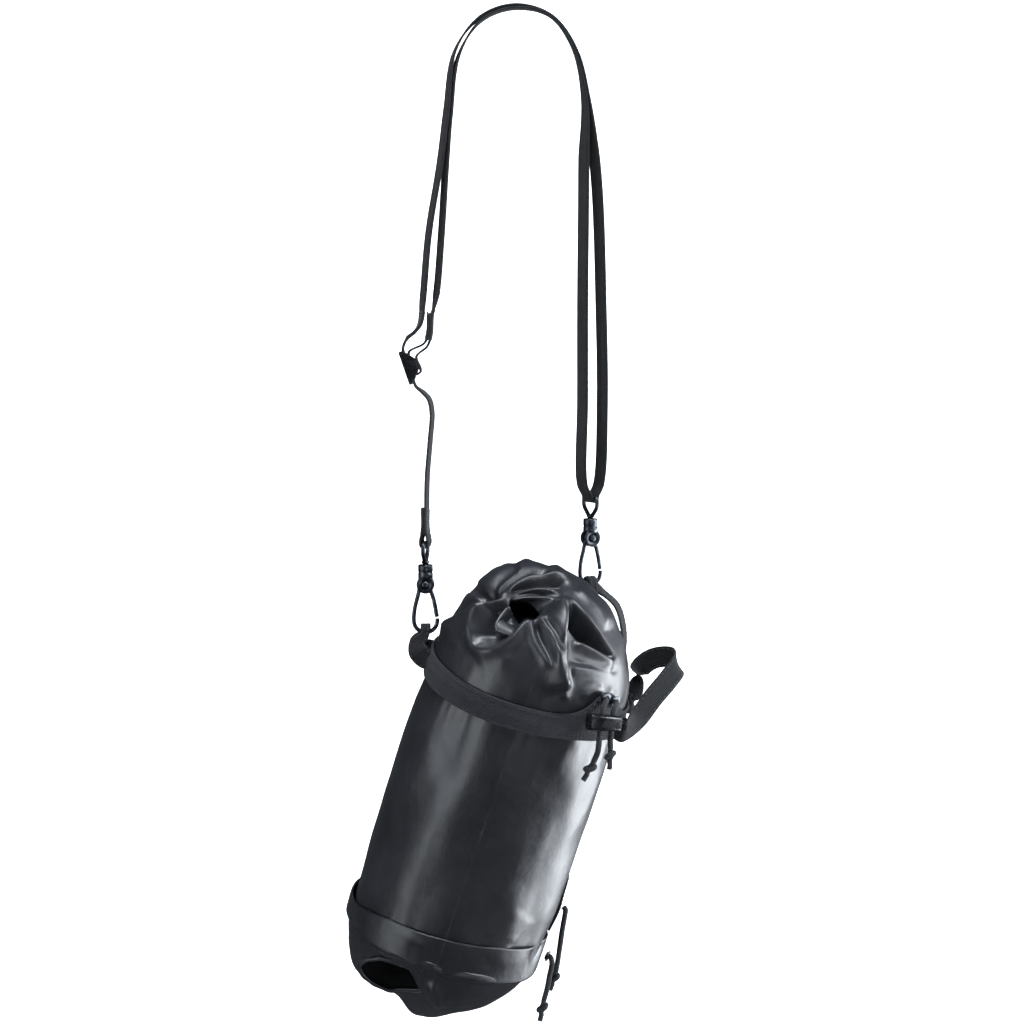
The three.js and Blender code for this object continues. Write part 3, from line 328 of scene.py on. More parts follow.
def threads(name, places, length=2.2, radius=0.24):
    """Stitches: (place, direction, outward) each, as short rounded threads that arch out of the cloth."""
    corners, faces = [], []
    sides, rows = 6, 5
    for place, along, outward in places:
        place, along, outward = Vector(place), Vector(along), Vector(outward)
        across = along.cross(outward).normalized()
        start = len(corners)
        for row in range(rows):
            share = row / (rows - 1)
            centre = place + along * (length * (share - 0.5)) + outward * (
                radius * (1.2 * math.sin(math.pi * share) - 0.4))
            thin = 0.55 + 0.45 * math.sin(math.pi * share)
            for k in range(sides):
                turn = 2 * math.pi * k / sides
                corners.append(centre + across * (radius * thin * math.cos(turn))
                               + outward * (radius * thin * math.sin(turn)))
        faces += [tuple(start + i for i in face) for face in capped_faces(rows, sides)]
    return mesh_object(name, corners, faces)


def refined(name, node, bevel):
    """A copy of a hard CAD node with its edges eased."""
    source = frame["nodes"][node]
    piece = bpy.data.objects.new(name, source.data.copy())
    bpy.context.scene.collection.objects.link(piece)
    piece.data.materials.clear()
    for polygon in piece.data.polygons:
        polygon.use_smooth = True
    weld = piece.modifiers.new("weld", "WELD")
    weld.merge_threshold = 2e-6
    flat = piece.modifiers.new("flat", "DECIMATE")
    flat.decimate_type = "DISSOLVE"
    flat.angle_limit = math.radians(2)
    ease = piece.modifiers.new("ease", "BEVEL")
    ease.width = bevel * MM
    ease.segments = 3
    ease.limit_method = "ANGLE"
    ease.angle_limit = math.radians(32)
    ease.harden_normals = True
    return piece


# ---- finishes -----------------------------------------------------------------------------


class Value:
    """A shader socket that takes part in sums, so a finish is written as an expression."""

    def __init__(self, finish, socket):
        self.finish, self.socket = finish, socket

    def math(self, operation, *others):
        return self.finish.node("ShaderNodeMath", {"operation": operation}, [self, *others])

    def __add__(self, other):
        return self.math("ADD", other)

    def __mul__(self, other):
        return self.math("MULTIPLY", other)

    def __sub__(self, other):
        return self.math("SUBTRACT", other)

    __radd__ = __add__
    __rmul__ = __mul__

    def clamped(self, low, high):
        """0 at low and 1 at high, held there beyond them."""
        return self.finish.node("ShaderNodeMapRange", {"interpolation_type": "SMOOTHSTEP"},
                                {"Value": self, "From Min": low, "From Max": high})


class Finish:
    """A material. The sockets of its shader that stay the same all over are its constants."""

    def __init__(self, name, **constants):
        self.material = bpy.data.materials.new(name)
        self.material.use_nodes = True
        self.tree = self.material.node_tree
        self.shader = self.tree.nodes["Principled BSDF"]
        self.set(**constants)

    def join(self, value, socket):
        if isinstance(value, Value):
            self.tree.links.new(value.socket, socket)
        else:
            socket.default_value = value

    def set(self, **values):
        for words, value in values.items():
            self.join(value, self.shader.inputs[words.replace("_", " ")])

    def node(self, kind, settings=None, values=(), output=0):
        node = self.tree.nodes.new(kind)
        for words, value in (settings or {}).items():
            setattr(node, words, value)
        for key, value in values.items() if isinstance(values, dict) else enumerate(values):
            self.join(value, node.inputs[key])
        return Value(self, node.outputs[output])

    def where(self):
        """The place in the object's frame, in metres."""
        return self.node("ShaderNodeTexCoord", output=3)

    def laid(self):
        """Across, along and through the flat cloth, in metres, as three values."""
        lay = self.node("ShaderNodeAttribute", {"attribute_name": "lay"}, output=1)
        parts = [self.node("ShaderNodeSeparateXYZ", None, [lay], k) for k in range(3)]
        return [part * MM for part in parts]

    def noise(self, size, detail, roughness=0.55):
        """Noise from 0 to 1 whose lumps are about size across, in metres."""
        return self.node("ShaderNodeTexNoise", None, {
            "Vector": self.where(), "Scale": 1 / size, "Detail": detail, "Roughness": roughness})

    def wave(self, along, pitch):
        """From -1 to 1 and back over each pitch."""
        return (along * (2 * math.pi / pitch)).math("SINE")

    def blend(self, share, first, second):
        """A colour between two."""
        return self.node("ShaderNodeMix", {"data_type": "RGBA"}, {0: share, 6: first, 7: second}, 2)

    def bump(self, height, depth, under=None):
        """Relief of a depth in metres where height goes from 0 to 1, over any relief under it."""
        values = {"Height": height, "Distance": depth, "Strength": 1.0}
        if under:
            values["Normal"] = under
        return self.node("ShaderNodeBump", None, values)


def tint(red, green, blue):
    return (red, green, blue, 1.0)


def coated_fabric():
    """Film-coated polyester: near black and bluish, glossy, with its weave showing through."""
    finish = Finish("coated_fabric", Coat_Weight=0.2, Coat_Roughness=0.32, Specular_IOR_Level=0.5)
    across, along, _ = finish.laid()
    weave = finish.wave(across, 0.0009) * finish.wave(along, 0.0009) * 0.5 + 0.5
    crumple = finish.noise(0.013, 4.0, roughness=0.5)
    broad = finish.noise(0.05, 2.0)
    scuff = finish.noise(0.0022, 4.0, roughness=0.7).clamped(0.62, 0.8)
    base = finish.blend(broad.clamped(0.3, 0.7), tint(0.006, 0.0066, 0.0095), tint(0.011, 0.0118, 0.016))
    finish.set(
        Base_Color=finish.blend(scuff * 0.25, base, tint(0.03, 0.032, 0.04)),
        Roughness=0.33 + 0.14 * broad + 0.1 * scuff,
        Normal=finish.bump(weave, 0.00004, finish.bump(crumple, 0.0005)),
    )
    return finish.material


def uncoated_back():
    """The cloth's matt inner side."""
    finish = Finish("uncoated_back", Specular_IOR_Level=0.1)
    fuzz = finish.noise(0.0015, 4.0, roughness=0.7)
    finish.set(
        Base_Color=finish.blend(fuzz, tint(0.0015, 0.0016, 0.002), tint(0.004, 0.0042, 0.005)),
        Roughness=0.85 + 0.1 * fuzz,
        Normal=finish.bump(fuzz, 0.0001),
    )
    return finish.material


def woven(name, dark, light, rib, pick, depth, rough):
    """Narrow woven goods: ribs along the length crossed by finer picks, matt, a little hairy."""
    finish = Finish(name, Sheen_Weight=0.03, Sheen_Roughness=0.6, Specular_IOR_Level=0.3)
    across, along, _ = finish.laid()
    ribs = finish.wave(across, rib) * 0.5 + 0.5
    picks = finish.wave(along + across * 0.6, pick) * 0.5 + 0.5
    yarn = ribs * 0.45 + picks * 0.55
    fuzz = finish.noise(0.0012, 4.0, roughness=0.7)
    worn = finish.noise(0.018, 3.0).clamped(0.45, 0.75)
    finish.set(
        Base_Color=finish.blend(yarn * 0.6 + fuzz * 0.25 + worn * 0.15, dark, light),
        Roughness=rough + 0.12 * fuzz,
        Normal=finish.bump(yarn, depth, finish.bump(fuzz, depth)),
    )
    return finish.material


def braided_cord():
    finish = Finish("braided_cord", Sheen_Weight=0.04, Sheen_Roughness=0.5, Specular_IOR_Level=0.35)
    across, along, _ = finish.laid()
    strands = finish.wave(across * 1.5 + along, 0.0031) * finish.wave(across * 1.5 - along, 0.0031)
    plaits = strands * 0.5 + 0.5
    fuzz = finish.noise(0.0009, 3.0, roughness=0.7)
    finish.set(
        Base_Color=finish.blend(plaits * 0.7 + fuzz * 0.3,
                                tint(0.003, 0.0035, 0.005), tint(0.02, 0.022, 0.028)),
        Roughness=0.62 + 0.2 * fuzz,
        Normal=finish.bump(plaits, 0.00035, finish.bump(fuzz, 0.0001)),
    )
    return finish.material


def gunmetal():
    """Dark plated steel, brightest where handling has rubbed it."""
    finish = Finish("gunmetal", Metallic=1.0)
    rubbed = finish.noise(0.006, 4.0, roughness=0.65).clamped(0.5, 0.72)
    pits = finish.noise(0.0011, 5.0, roughness=0.75)
    finish.set(
        Base_Color=finish.blend(rubbed, tint(0.05, 0.055, 0.065), tint(0.17, 0.18, 0.2)),
        Roughness=0.3 + 0.18 * pits - 0.06 * rubbed,
        Normal=finish.bump(pits, 0.00009),
    )
    return finish.material


def moulded_black():
    finish = Finish("moulded_black", Coat_Weight=0.3, Coat_Roughness=0.15)
    grain = finish.noise(0.0007, 3.0, roughness=0.6)
    handled = finish.noise(0.009, 2.0).clamped(0.4, 0.7)
    finish.set(
        Base_Color=finish.blend(handled, tint(0.003, 0.003, 0.004), tint(0.007, 0.007, 0.009)),
        Roughness=0.2 + 0.14 * handled,
        Normal=finish.bump(grain, 0.00006),
    )
    return finish.material


def sewing_thread():
    finish = Finish("sewing_thread", Sheen_Weight=0.1, Specular_IOR_Level=0.5)
    twist = finish.noise(0.0006, 2.0)
    finish.set(
        Base_Color=finish.blend(twist, tint(0.012, 0.013, 0.017), tint(0.035, 0.037, 0.045)),
        Roughness=0.5 + 0.2 * twist,
    )
    return finish.material


def pale_sweep():
    finish = Finish("pale_sweep", Specular_IOR_Level=0.0, Emission_Strength=0.8)
    cloud = finish.noise(0.9, 2.0)
    finish.set(Base_Color=finish.blend(cloud, tint(0.93, 0.93, 0.93), tint(0.96, 0.96, 0.96)),
               Emission_Color=finish.blend(cloud, tint(0.98, 0.98, 0.98), tint(1.0, 1.0, 1.0)),
               Roughness=0.9 + 0.05 * cloud)
    return finish.material


COATED = coated_fabric()
UNCOATED = uncoated_back()
TAPE = woven("rim_tape_weave", tint(0.004, 0.004, 0.006), tint(0.019, 0.02, 0.029),
             rib=0.0016, pick=0.0011, depth=0.0004, rough=0.72)
WEBBING = woven("webbing_weave", tint(0.002, 0.0022, 0.003), tint(0.011, 0.012, 0.0155),
                rib=0.0017, pick=0.0012, depth=0.0004, rough=0.74)
CORD = braided_cord()
METAL = gunmetal()
PLASTIC = moulded_black()
THREAD = sewing_thread()
NODE_FINISH = {
    "coated_fabric": COATED, "woven_tape": TAPE, "webbing": WEBBING, "cord": CORD,
    "dark_metal": METAL, "moulded_plastic": PLASTIC,
}
SLOT_OF = {row["node"]: row["material_slot"] for row in frame["record"]["subparts"]}

for node_name, node in frame["nodes"].items():
    node.data.materials.clear()
    node.data.materials.append(NODE_FINISH[SLOT_OF[node_name]])


def dress(piece, body, material, slot=None, replaced=()):
    """Gives a piece its finish and its body, and hides the nodes that it stands for."""
    piece.data.materials.clear()
    piece.data.materials.append(material)
    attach(piece, body)
    if replaced:
        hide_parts(*replaced)
    return piece


def sew(name, places, body, **sizes):
    """Stitches in sewing thread that ride on a body."""
    dress(threads(name, places, **sizes), body, THREAD)


# ---- cords --------------------------------------------------------------------------------

# Each tail hangs from its exit down to its stopper knot.

GUSSET_RADIUS = TAPE_OUTSIDE - 0.6
LOCK_CENTRE = side_point(42.5, TAPE_OUTSIDE + 10.3, 17)
LOCK_TURN = Matrix.Rotation(math.radians(25), 3, "Z") @ Matrix.Rotation(math.radians(7), 3, "Y")
CORD_SPACING = 8.6
LOWER_CORD_HEIGHT = -BODY_HEIGHT + 8
LOWER_CORD_RING = BODY_RADIUS + BODY_BELLY + WALL_THICKNESS + 1 + CORD_DIAMETER / 2 + CORD_PLAY
LOOP_EXIT_RADIUS = BODY_RADIUS + BODY_BELLY + LAYER + CORD_DIAMETER / 2 + 2.2
LOOP_EXIT = side_point(SIDE_LOOP_SIDE, LOOP_EXIT_RADIUS, -BODY_HEIGHT + 32)


def near_lock(x, y, z):
    return LOCK_CENTRE + Vector((x, y, z))


def lock_hole(side, z):
    return LOCK_CENTRE + LOCK_TURN @ Vector((side * CORD_SPACING / 2, 0, z))


def rim_exit(i, lift):
    return side_point(EYELET_SIDES[i], GUSSET_RADIUS + lift, EYELET_HEIGHTS[i])


def arch(i, side, top):
    """From an eyelet straight out, then over and down into one of the lock's holes."""
    start, low = rim_exit(i, 0.5), lock_hole(side, top)
    reach = 0.4 * (low - start).length
    out = start + (start - rim_exit(i, 0)).normalized() * reach
    over = low + (low - lock_hole(side, top - 1)) * reach
    steps = [start * (1 - t) ** 3 + out * 3 * t * (1 - t) ** 2 + over * 3 * t * t * (1 - t) + low * t**3
             for t in (0.25, 0.5, 0.75)]
    return [rim_exit(i, 0), start, *steps, low]


def lower_exit(lift, x=0, y=0, z=0):
    radius = LOWER_CORD_RING + CORD_DIAMETER / 2 + FIT_GAP + lift
    return side_point(LOWER_EXIT_SIDE, radius, LOWER_CORD_HEIGHT) + Vector((x, y, z))


TAILS = {
    "rim_cord_tail_1": [
        *arch(0, -1, 7), *[lock_hole(-1, z) for z in (0, -7, -12)],
        near_lock(-6.2, 0.4, -20.6), near_lock(-8.8, 1, -27),
    ],
    "rim_cord_tail_2": [
        *arch(1, 1, 7), *[lock_hole(1, z) for z in (0, -7, -12)], near_lock(2.8, 1.8, -17.8),
    ],
    "lower_cord_tail_1": [
        lower_exit(0), lower_exit(3.6), lower_exit(0, 4.2, -1.7, -5.4), lower_exit(0, 2.6, -1.6, -14),
        lower_exit(0, 0.8, -1.4, -24), lower_exit(0, -1.6, -1.2, -33),
    ],
    "lower_cord_tail_2": [
        LOOP_EXIT, *[LOOP_EXIT + Vector(p) for p in (
            (1.6, -0.4, -2), (1.2, -1.4, -6), (-0.6, -3, -16), (-2.6, -3.6, -30), (-4.4, -4, -42),
            (-5.2, -4, -46.5))],
    ],
}
# A stopper knot's own turns, measured from where the tail meets it, down its length.
KNOT_TURNS = [
    (0, 0, 0.6), (0, 0, -2.4), (1.7, 0.9, -5.4), (0.2, 2.5, -7.2), (-2.3, 0.6, -6.6), (-1.5, -2, -3.9),
    (1.3, -2, -2.9), (2.4, 0.2, -4.1), (0.6, 0.8, -7.2), (0, 0, -10), (0.3, 0.2, -12.6), (0.1, 0.3, -15),
]


def braid(turn, travelled):
    return 1 + 0.05 * math.sin(3 * turn + travelled * 1.9) * math.sin(3 * turn - travelled * 1.9)


def length_of(route):
    return sum((b - a).length for a, b in zip(route, route[1:]))


def make_cord(name, stops, lean):
    tail_route = [p for p, _ in smooth_route(stops, 9)]
    cord = tube(name.replace("tail", "line"), tail_route, CORD_DIAMETER / 2, swell=braid)
    dress(cord, "bag", CORD, "cord", [name])
    end = Vector(stops[-1])
    down = (end - Vector(stops[-2])).normalized() + Vector((lean, 0, 0))
    turn = (-down).to_track_quat("Z", "Y").to_matrix()
    loops = [end + turn @ Vector(p) for p in KNOT_TURNS]
    knot_name = name.replace("tail", "knot")
    knot = tube(knot_name.replace("knot", "stopper"), [p for p, _ in smooth_route(loops, 7)],
                CORD_DIAMETER / 2 - 0.15, sides=14, swell=braid)
    dress(knot, "bag", CORD, "cord", [knot_name])
    path = points(tail_route)
    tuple(path[0])
    length_of(tail_route) * MM


for tail_name, tail_stops in TAILS.items():
    make_cord(tail_name, tail_stops, 0.1 if tail_name == "lower_cord_tail_1" else -0.1)


# ---- cloth that is shaped by its folds ------------------------------------------------------


def seen(spots):
    """Across and up for each spot on the bag, against the bag's middle plane as its front shows it."""
    eye = np.array(BAG_TURN.transposed() @ (EYE - RIM_CENTRE))
    share = -eye[1] / (spots[:, 1] - eye[1])
    return eye[[0, 2]] + share[:, None] * (spots[:, [0, 2]] - eye[[0, 2]])


def smoothstep(x):
    x = np.clip(x, 0, 1)
    return x * x * (3 - 2 * x)


def fold(uv, line, height, before, after, taper=0.2):
    """A ridge, or a valley where height is negative, along a line. before and after are its
    widths on the left and the right of the line's direction of travel."""
    route = np.array([(p.x, p.y) for p, _ in smooth_route([(x, y, 0) for x, y in line], 6)])
    nearest = np.full(len(uv), 1e9)
    side = np.zeros(len(uv))
    place = np.zeros(len(uv))
    for i in range(len(route) - 1):
        a, d = route[i], route[i + 1] - route[i]
        size = float(d @ d)
        share = np.clip(((uv - a) @ d) / size, 0, 1)
        off = uv - (a + share[:, None] * d)
        distance = np.hypot(off[:, 0], off[:, 1])
        closer = distance < nearest
        nearest = np.where(closer, distance, nearest)
        side = np.where(closer, d[0] * off[:, 1] - d[1] * off[:, 0], side)
        place = np.where(closer, (i + share) / (len(route) - 1), place)
    width = np.where(side > 0, before, after)
    ends = smoothstep(place / taper) * smoothstep((1 - place) / taper) if taper else 1.0
    return height * np.exp(-((nearest / width) ** 2)) * ends


def pocket(uv, corners, depth, soft):
    """A hollow inside a convex outline, given the way the clock turns."""
    inside = np.full(len(uv), 1e9)
    for a, b in zip(corners, corners[1:] + corners[:1]):
        a, d = np.array(a, float), np.array(b, float) - np.array(a, float)
        inside = np.minimum(inside, ((uv - a) @ np.array([d[1], -d[0]])) / np.hypot(*d))
    return -depth * smoothstep(inside / soft + 0.3)


def lumps(spots, size, seed):
    """Smooth noise from -1 to 1 at each spot."""
    return np.array([noise.noise(Vector(p) / size + Vector((seed, 0, 0))) for p in spots.tolist()])


def smooth_rings(rings, rows):
    """Rows of ring values between the given rings."""
    rings = np.array(rings, float)
    place = np.linspace(0, len(rings) - 1, rows)
    out = []
    for t in place:
        i = min(int(t), len(rings) - 2)
        s = t - i
        p1, p2 = rings[i], rings[i + 1]
        p0 = rings[i - 1] if i else 2 * p1 - p2
        p3 = rings[i + 2] if i + 2 < len(rings) else 2 * p2 - p1
        out.append(0.5 * (2 * p1 + (p2 - p0) * s + (2 * p0 - 5 * p1 + 4 * p2 - p3) * s * s
                          + (3 * p1 - p0 - 3 * p2 + p3) * s**3))
    return np.array(out), place


def right_share(turn):
    """How far a ring's drop acts: all of it at the right front, two thirds at the right end."""
    across = np.sin(turn)
    return smoothstep((across + 0.05) / 0.45) * (1 - 0.35 * smoothstep((across - 0.6) / 0.4))


def ring_spots(rings, rows, columns):
    """Spots of tilted rings of (left, right, front y, front z, back y, back z, right side's drop)."""
    values, place = smooth_rings(rings, rows)
    turn = np.linspace(0, 2 * math.pi, columns, endpoint=False)
    left, right, yf, zf, yb, zb, drop = (values[:, k, None] for k in range(7))
    x = (left + right) / 2 + (right - left) / 2 * np.sin(turn)
    y = (yf + yb) / 2 - (yb - yf) / 2 * np.cos(turn)
    z = (zf + zb) / 2 - (zb - zf) / 2 * np.cos(turn) + drop * right_share(turn)
    grid = np.stack([x, y, z], axis=-1)
    return grid, np.repeat(place, columns), np.tile(turn, rows)


def grid_normals(grid):
    """Outward directions of a closed grid of rows and columns."""
    round_way = np.roll(grid, -1, axis=1) - np.roll(grid, 1, axis=1)
    up_way = np.gradient(grid, axis=0)
    normal = np.cross(round_way, up_way)
    return normal / np.maximum(np.linalg.norm(normal, axis=-1, keepdims=True), 1e-9)


def softened(grid, times):
    """A closed grid with its small kinks eased out; the first and last rows stay."""
    for _ in range(times):
        around = (np.roll(grid, 1, axis=1) + np.roll(grid, -1, axis=1)) / 2
        above = grid.copy()
        above[1:-1] = (grid[:-2] + grid[2:]) / 2
        eased = 0.5 * grid + 0.25 * around + 0.25 * above
        grid = np.concatenate([grid[:1], eased[1:-1], grid[-1:]])
    return grid


def to_world(spots):
    return spots @ TURN_ARRAY.T + np.array(RIM_CENTRE)


def cloth(name, grid, thickness):
    """A sheet from a closed grid in the bag's own frame. Its thickness goes inwards."""
    rows, columns = grid.shape[:2]
    lay = np.zeros((rows, columns, 2))
    step = np.linalg.norm(np.diff(grid, axis=0), axis=-1).mean(axis=1)
    lay[:, :, 0] = np.linspace(0, 2 * math.pi * BODY_RADIUS, columns, endpoint=False)
    lay[:, :, 1] = np.concatenate([[0], np.cumsum(step)])[:, None]
    piece = mesh_object(name, to_world(grid.reshape(-1, 3)), grid_faces(rows, columns, True),
                        lay.reshape(-1, 2))
    wall = piece.modifiers.new("wall", "SOLIDIFY")
    wall.thickness = thickness * MM
    wall.offset = -1
    wall.use_rim = True
    return piece


def turned_in(piece, grid, place, ring):
    """Beyond this ring the cloth is turned in and shows its matt side."""
    rows, columns = grid.shape[:2]
    piece.data.materials.append(UNCOATED)
    inner = place.reshape(rows, columns)[:-1] >= ring
    piece.data.polygons.foreach_set("material_index", inner.astype(int).ravel())
    piece.data.update()


def shaped(grid, folds, pockets=()):
    """Spots and normals of a closed grid, and how far its folds and pockets move each spot."""
    spots = grid.reshape(-1, 3)
    normals = grid_normals(grid).reshape(-1, 3)
    uv = seen(spots)
    move = np.zeros(len(spots))
    for line, height, before, after, *taper in folds:
        move += fold(uv, line, height, before, after, *taper)
    for corners, depth, soft in pockets:
        move += pocket(uv, corners, depth, soft)
    return spots, normals, move


# ---- body ---------------------------------------------------------------------------------

# Each fold: its line as seen from the front, its height and its widths left and right.
BODY_FOLDS = [
    ([(-52, -12), (-56, -60), (-60, -120)], 1.6, 9, 14),
    ([(-30, -20), (-38, -50), (-36, -90)], -1.1, 12, 9),
    ([(12, -14), (30, -24), (52, -20)], 1.0, 4, 7),
    ([(40, -40), (36, -100), (44, -160)], -0.9, 12, 16),
    ([(30, -190), (42, -176), (50, -158)], 0.7, 5, 4),
    ([(48, -188), (54, -176), (57, -162)], 0.5, 4, 4),
]


def make_body():
    """The round wall: filled out, with long soft folds that start at the rim and the lower seam."""
    rows, columns = 150, 288
    top, bottom = 2.0, -BODY_HEIGHT
    turn, share = np.meshgrid(np.linspace(0, 2 * math.pi, columns, endpoint=False),
                              np.linspace(0, 1, rows))
    height = bottom + (top - bottom) * share
    radius = BODY_RADIUS + BODY_BELLY * np.sin(math.pi * share)
    grid = np.stack([radius * np.sin(turn), -radius * np.cos(turn), height], axis=-1)
    spots = grid.reshape(-1, 3)
    out = spots * [1, 1, 0] / np.hypot(spots[:, 0], spots[:, 1])[:, None]
    long_folds = lumps(spots * [1, 1, 0.42], size=32, seed=3.1) * 2.3
    long_folds += lumps(spots * [1, 1, 0.3], size=13, seed=8.4) * 0.3
    slack = lumps(spots * [1, 1, 0.7], size=18, seed=15.2) * 0.45
    near_top = np.exp(-((top - spots[:, 2]) / 26) ** 2)
    near_seam = np.exp(-((spots[:, 2] - bottom) / 20) ** 2)
    gathers = lumps(spots * [1, 1, 0.12], size=6, seed=21.7)
    move = long_folds + slack + gathers * (0.7 * near_top + 0.6 * near_seam)
    uv = seen(spots)
    in_front = spots[:, 1] < 10
    for line, fold_height, before, after in BODY_FOLDS:
        move += fold(uv, line, fold_height, before, after) * in_front
    move -= 1.2 * near_top
    grid = (spots + out * move[:, None]).reshape(rows, columns, 3)
    body = cloth("body_wall", grid, WALL_THICKNESS)
    dress(body, "bag", COATED, "coated_fabric", ["body_panel"])


# ---- collar -------------------------------------------------------------------------------

# The ring where the collar's cloth turns into its mouth.
MOUTH_RING = 11.3
# Rings from the tape up over the crown and down into the mouth, stuffed in at the left front:
# left, right, front y, front z, back y, back z, drop of the right end.
COLLAR_RINGS = [
    (-70, 70, -70, 1, 70, 1, 0), (-70, 70, -70, 13, 70, 13, 0), (-68.5, 68.5, -69.5, 26, 68, 28, 0),
    (-65, 63, -67, 38, 64, 44, 0), (-60.5, 55.5, -62, 49, 57, 59, 0), (-56.5, 46.5, -56, 57, 47, 72, 0),
    (-52, 37, -51, 62, 34, 82, 1), (-47, 25, -48, 65, 19, 88, 2), (-42, 13, -45.5, 66.5, 7, 89, 2),
    (-37, 2, -42.5, 66, -6, 86, 0), (-34, -6, -39, 63.5, -17, 80, 0), (-32, -9, -36.5, 59.5, -23, 73, 0),
    (-31, -11, -35.5, 52, -25, 62, 0), (-29, -11, -34, 40, -23, 43, 0),
]
# Each fold: its line as seen from the front, its height, its widths left and right, and its taper.
COLLAR_FOLDS = [
    # the front lobe's edge, and the dark step behind it
    ([(-74, 22), (-65, 32), (-57, 41), (-46, 51), (-39, 55), (-30, 59)], 4.5, 1.6, 12),
    ([(-70, 33), (-62, 41), (-54, 49), (-44, 57), (-35, 61)], -6, 4.5, 2),
    # the rolled edge of the pocket
    ([(-43, 54), (-48, 42), (-47, 28), (-43, 20), (-36, 20), (-27, 26), (-20, 36), (-16, 48), (-12, 54)],
     4.2, 2.2, 5, 0.08),
    # long folds right of the pocket
    ([(-13, 52), (-7, 39), (4, 28), (12, 20)], 2.8, 2.2, 3.5),
    ([(-11, 53), (-2, 41), (8, 30), (14, 21)], -3.4, 1.8, 1.8),
    ([(-8, 56), (3, 45), (11, 34), (16, 22)], 3.2, 2.2, 2.2),
    ([(-4, 57), (6, 46), (14, 33)], -3.2, 1.8, 1.8),
    # the standing ridge and the creases at its foot
    ([(6, 76), (9, 61), (12, 48), (16, 37), (20, 26), (23, 18), (29, 11)], 9.5, 1.8, 10, 0.12),
    ([(23, 20), (27, 12), (29, 2)], 2.0, 1.6, 3.0),
    ([(12, 46), (17, 33), (21, 22)], -2.5, 2.0, 2.4),
    ([(20, 24), (32, 29), (43, 32), (56, 36)], 4.2, 3.2, 6),
    ([(20, 45), (32, 44), (44, 42), (53, 40)], 4.2, 1.8, 4),
    ([(22, 31), (36, 32), (50, 33), (57, 36)], -2.6, 1.6, 2.4),
    # the fan of folds behind the mouth
    ([(-42, 54), (-36, 68), (-28, 80), (-16, 88)], 3.4, 3.5, 4),
    ([(-47, 54), (-44, 68), (-38, 80), (-31, 88)], -4.0, 5, 4),
    ([(-40, 58), (-34, 72), (-25, 83), (-8, 92)], -6.0, 2.6, 3.6),
    ([(-39, 56), (-32, 69), (-24, 78), (-10, 86), (4, 92)], 4.6, 1.8, 2.6),
    ([(-35, 61), (-23, 73), (-9, 81), (7, 84)], -6.5, 3.4, 2.4),
    ([(-37, 57), (-27, 67), (-15, 73), (-6, 75), (5, 74)], 3.6, 1.6, 2),
    ([(-31, 62), (-18, 69.5), (-4, 71.5)], -2.6, 1.2, 1.2),
    ([(-35, 58), (-24, 64), (-12, 68), (2, 70)], 3.0, 1.4, 1.8),
    ([(10, 84), (20, 78), (32, 71), (42, 61)], 3.2, 5, 3),
    ([(-61, 60), (-54, 59), (-48, 53)], -6, 4, 3),
    # slack above the tape
    ([(-40, 10), (-30, 18), (-14, 16)], 1.8, 5, 7),
    ([(-60, 14), (-52, 24), (-50, 36)], 1.2, 6, 4),
    ([(38, 8), (44, 16), (52, 20)], 1.8, 3, 4),
    ([(47, 6), (54, 12), (58, 24)], 1.5, 2.5, 3),
]
# Each hollow: its outline as seen from the front, its depth and the width of its soft edge.
COLLAR_POCKETS = [
    ([(-44, 50), (-36, 56), (-24, 57), (-18, 48), (-24, 34), (-34, 25), (-43, 28)], 9, 10),
    ([(-28, 57), (-19, 60), (-9, 56), (-12, 51), (-20, 47), (-27, 50)], 16, 5),
    ([(11, 72), (22, 66), (36, 57), (50, 45), (49, 42), (37, 45), (24, 48), (15, 54)], 22, 5),
]


def make_collar():
    rows, columns = 190, 384
    grid, place, turn = ring_spots(COLLAR_RINGS, rows, columns)
    spots, normals, move = shaped(grid, COLLAR_FOLDS, COLLAR_POCKETS)
    # the folds of the front fade towards the back and down in the mouth
    move *= smoothstep((22 - spots[:, 1]) / 16) * smoothstep((12.6 - place) / 1.2)
    crown = smoothstep((place - 3) / 4) * smoothstep((11.5 - place) / 2)
    behind = smoothstep((spots[:, 1] - 2) / 14)
    fan = np.sin(11 * turn + 3 * lumps(spots, size=30, seed=5.5)) + 0.6 * np.sin(19 * turn + 1.3)
    move += behind * crown * 0.9 * fan
    drape = lumps(spots * [1, 1, 0.5], size=26, seed=2.2) * 1.2
    move += drape * smoothstep((place - 0.9) / 1.2) * smoothstep((12 - place) / 2)
    move += lumps(spots * [1, 1, 0.2], size=7, seed=30.3) * 0.5 * np.exp(-((place - 1.2) / 0.9) ** 2)
    grid = softened((spots + normals * move[:, None]).reshape(rows, columns, 3), times=8)
    collar = cloth("collar_cloth", grid, GATHERED_THICKNESS)
    dress(collar, "bag", COATED, "coated_fabric", ["collar"])
    turned_in(collar, grid, place, MOUTH_RING)


# ---- lower sleeve -------------------------------------------------------------------------

# Heights of the folded lip by degrees from the front towards +X.
LIP_HEIGHTS = [(-180, -178), (-125, -182), (-83, -187), (-36, -171), (0, -166.6), (32, -165), (71, -170),
               (125, -175), (180, -178)]
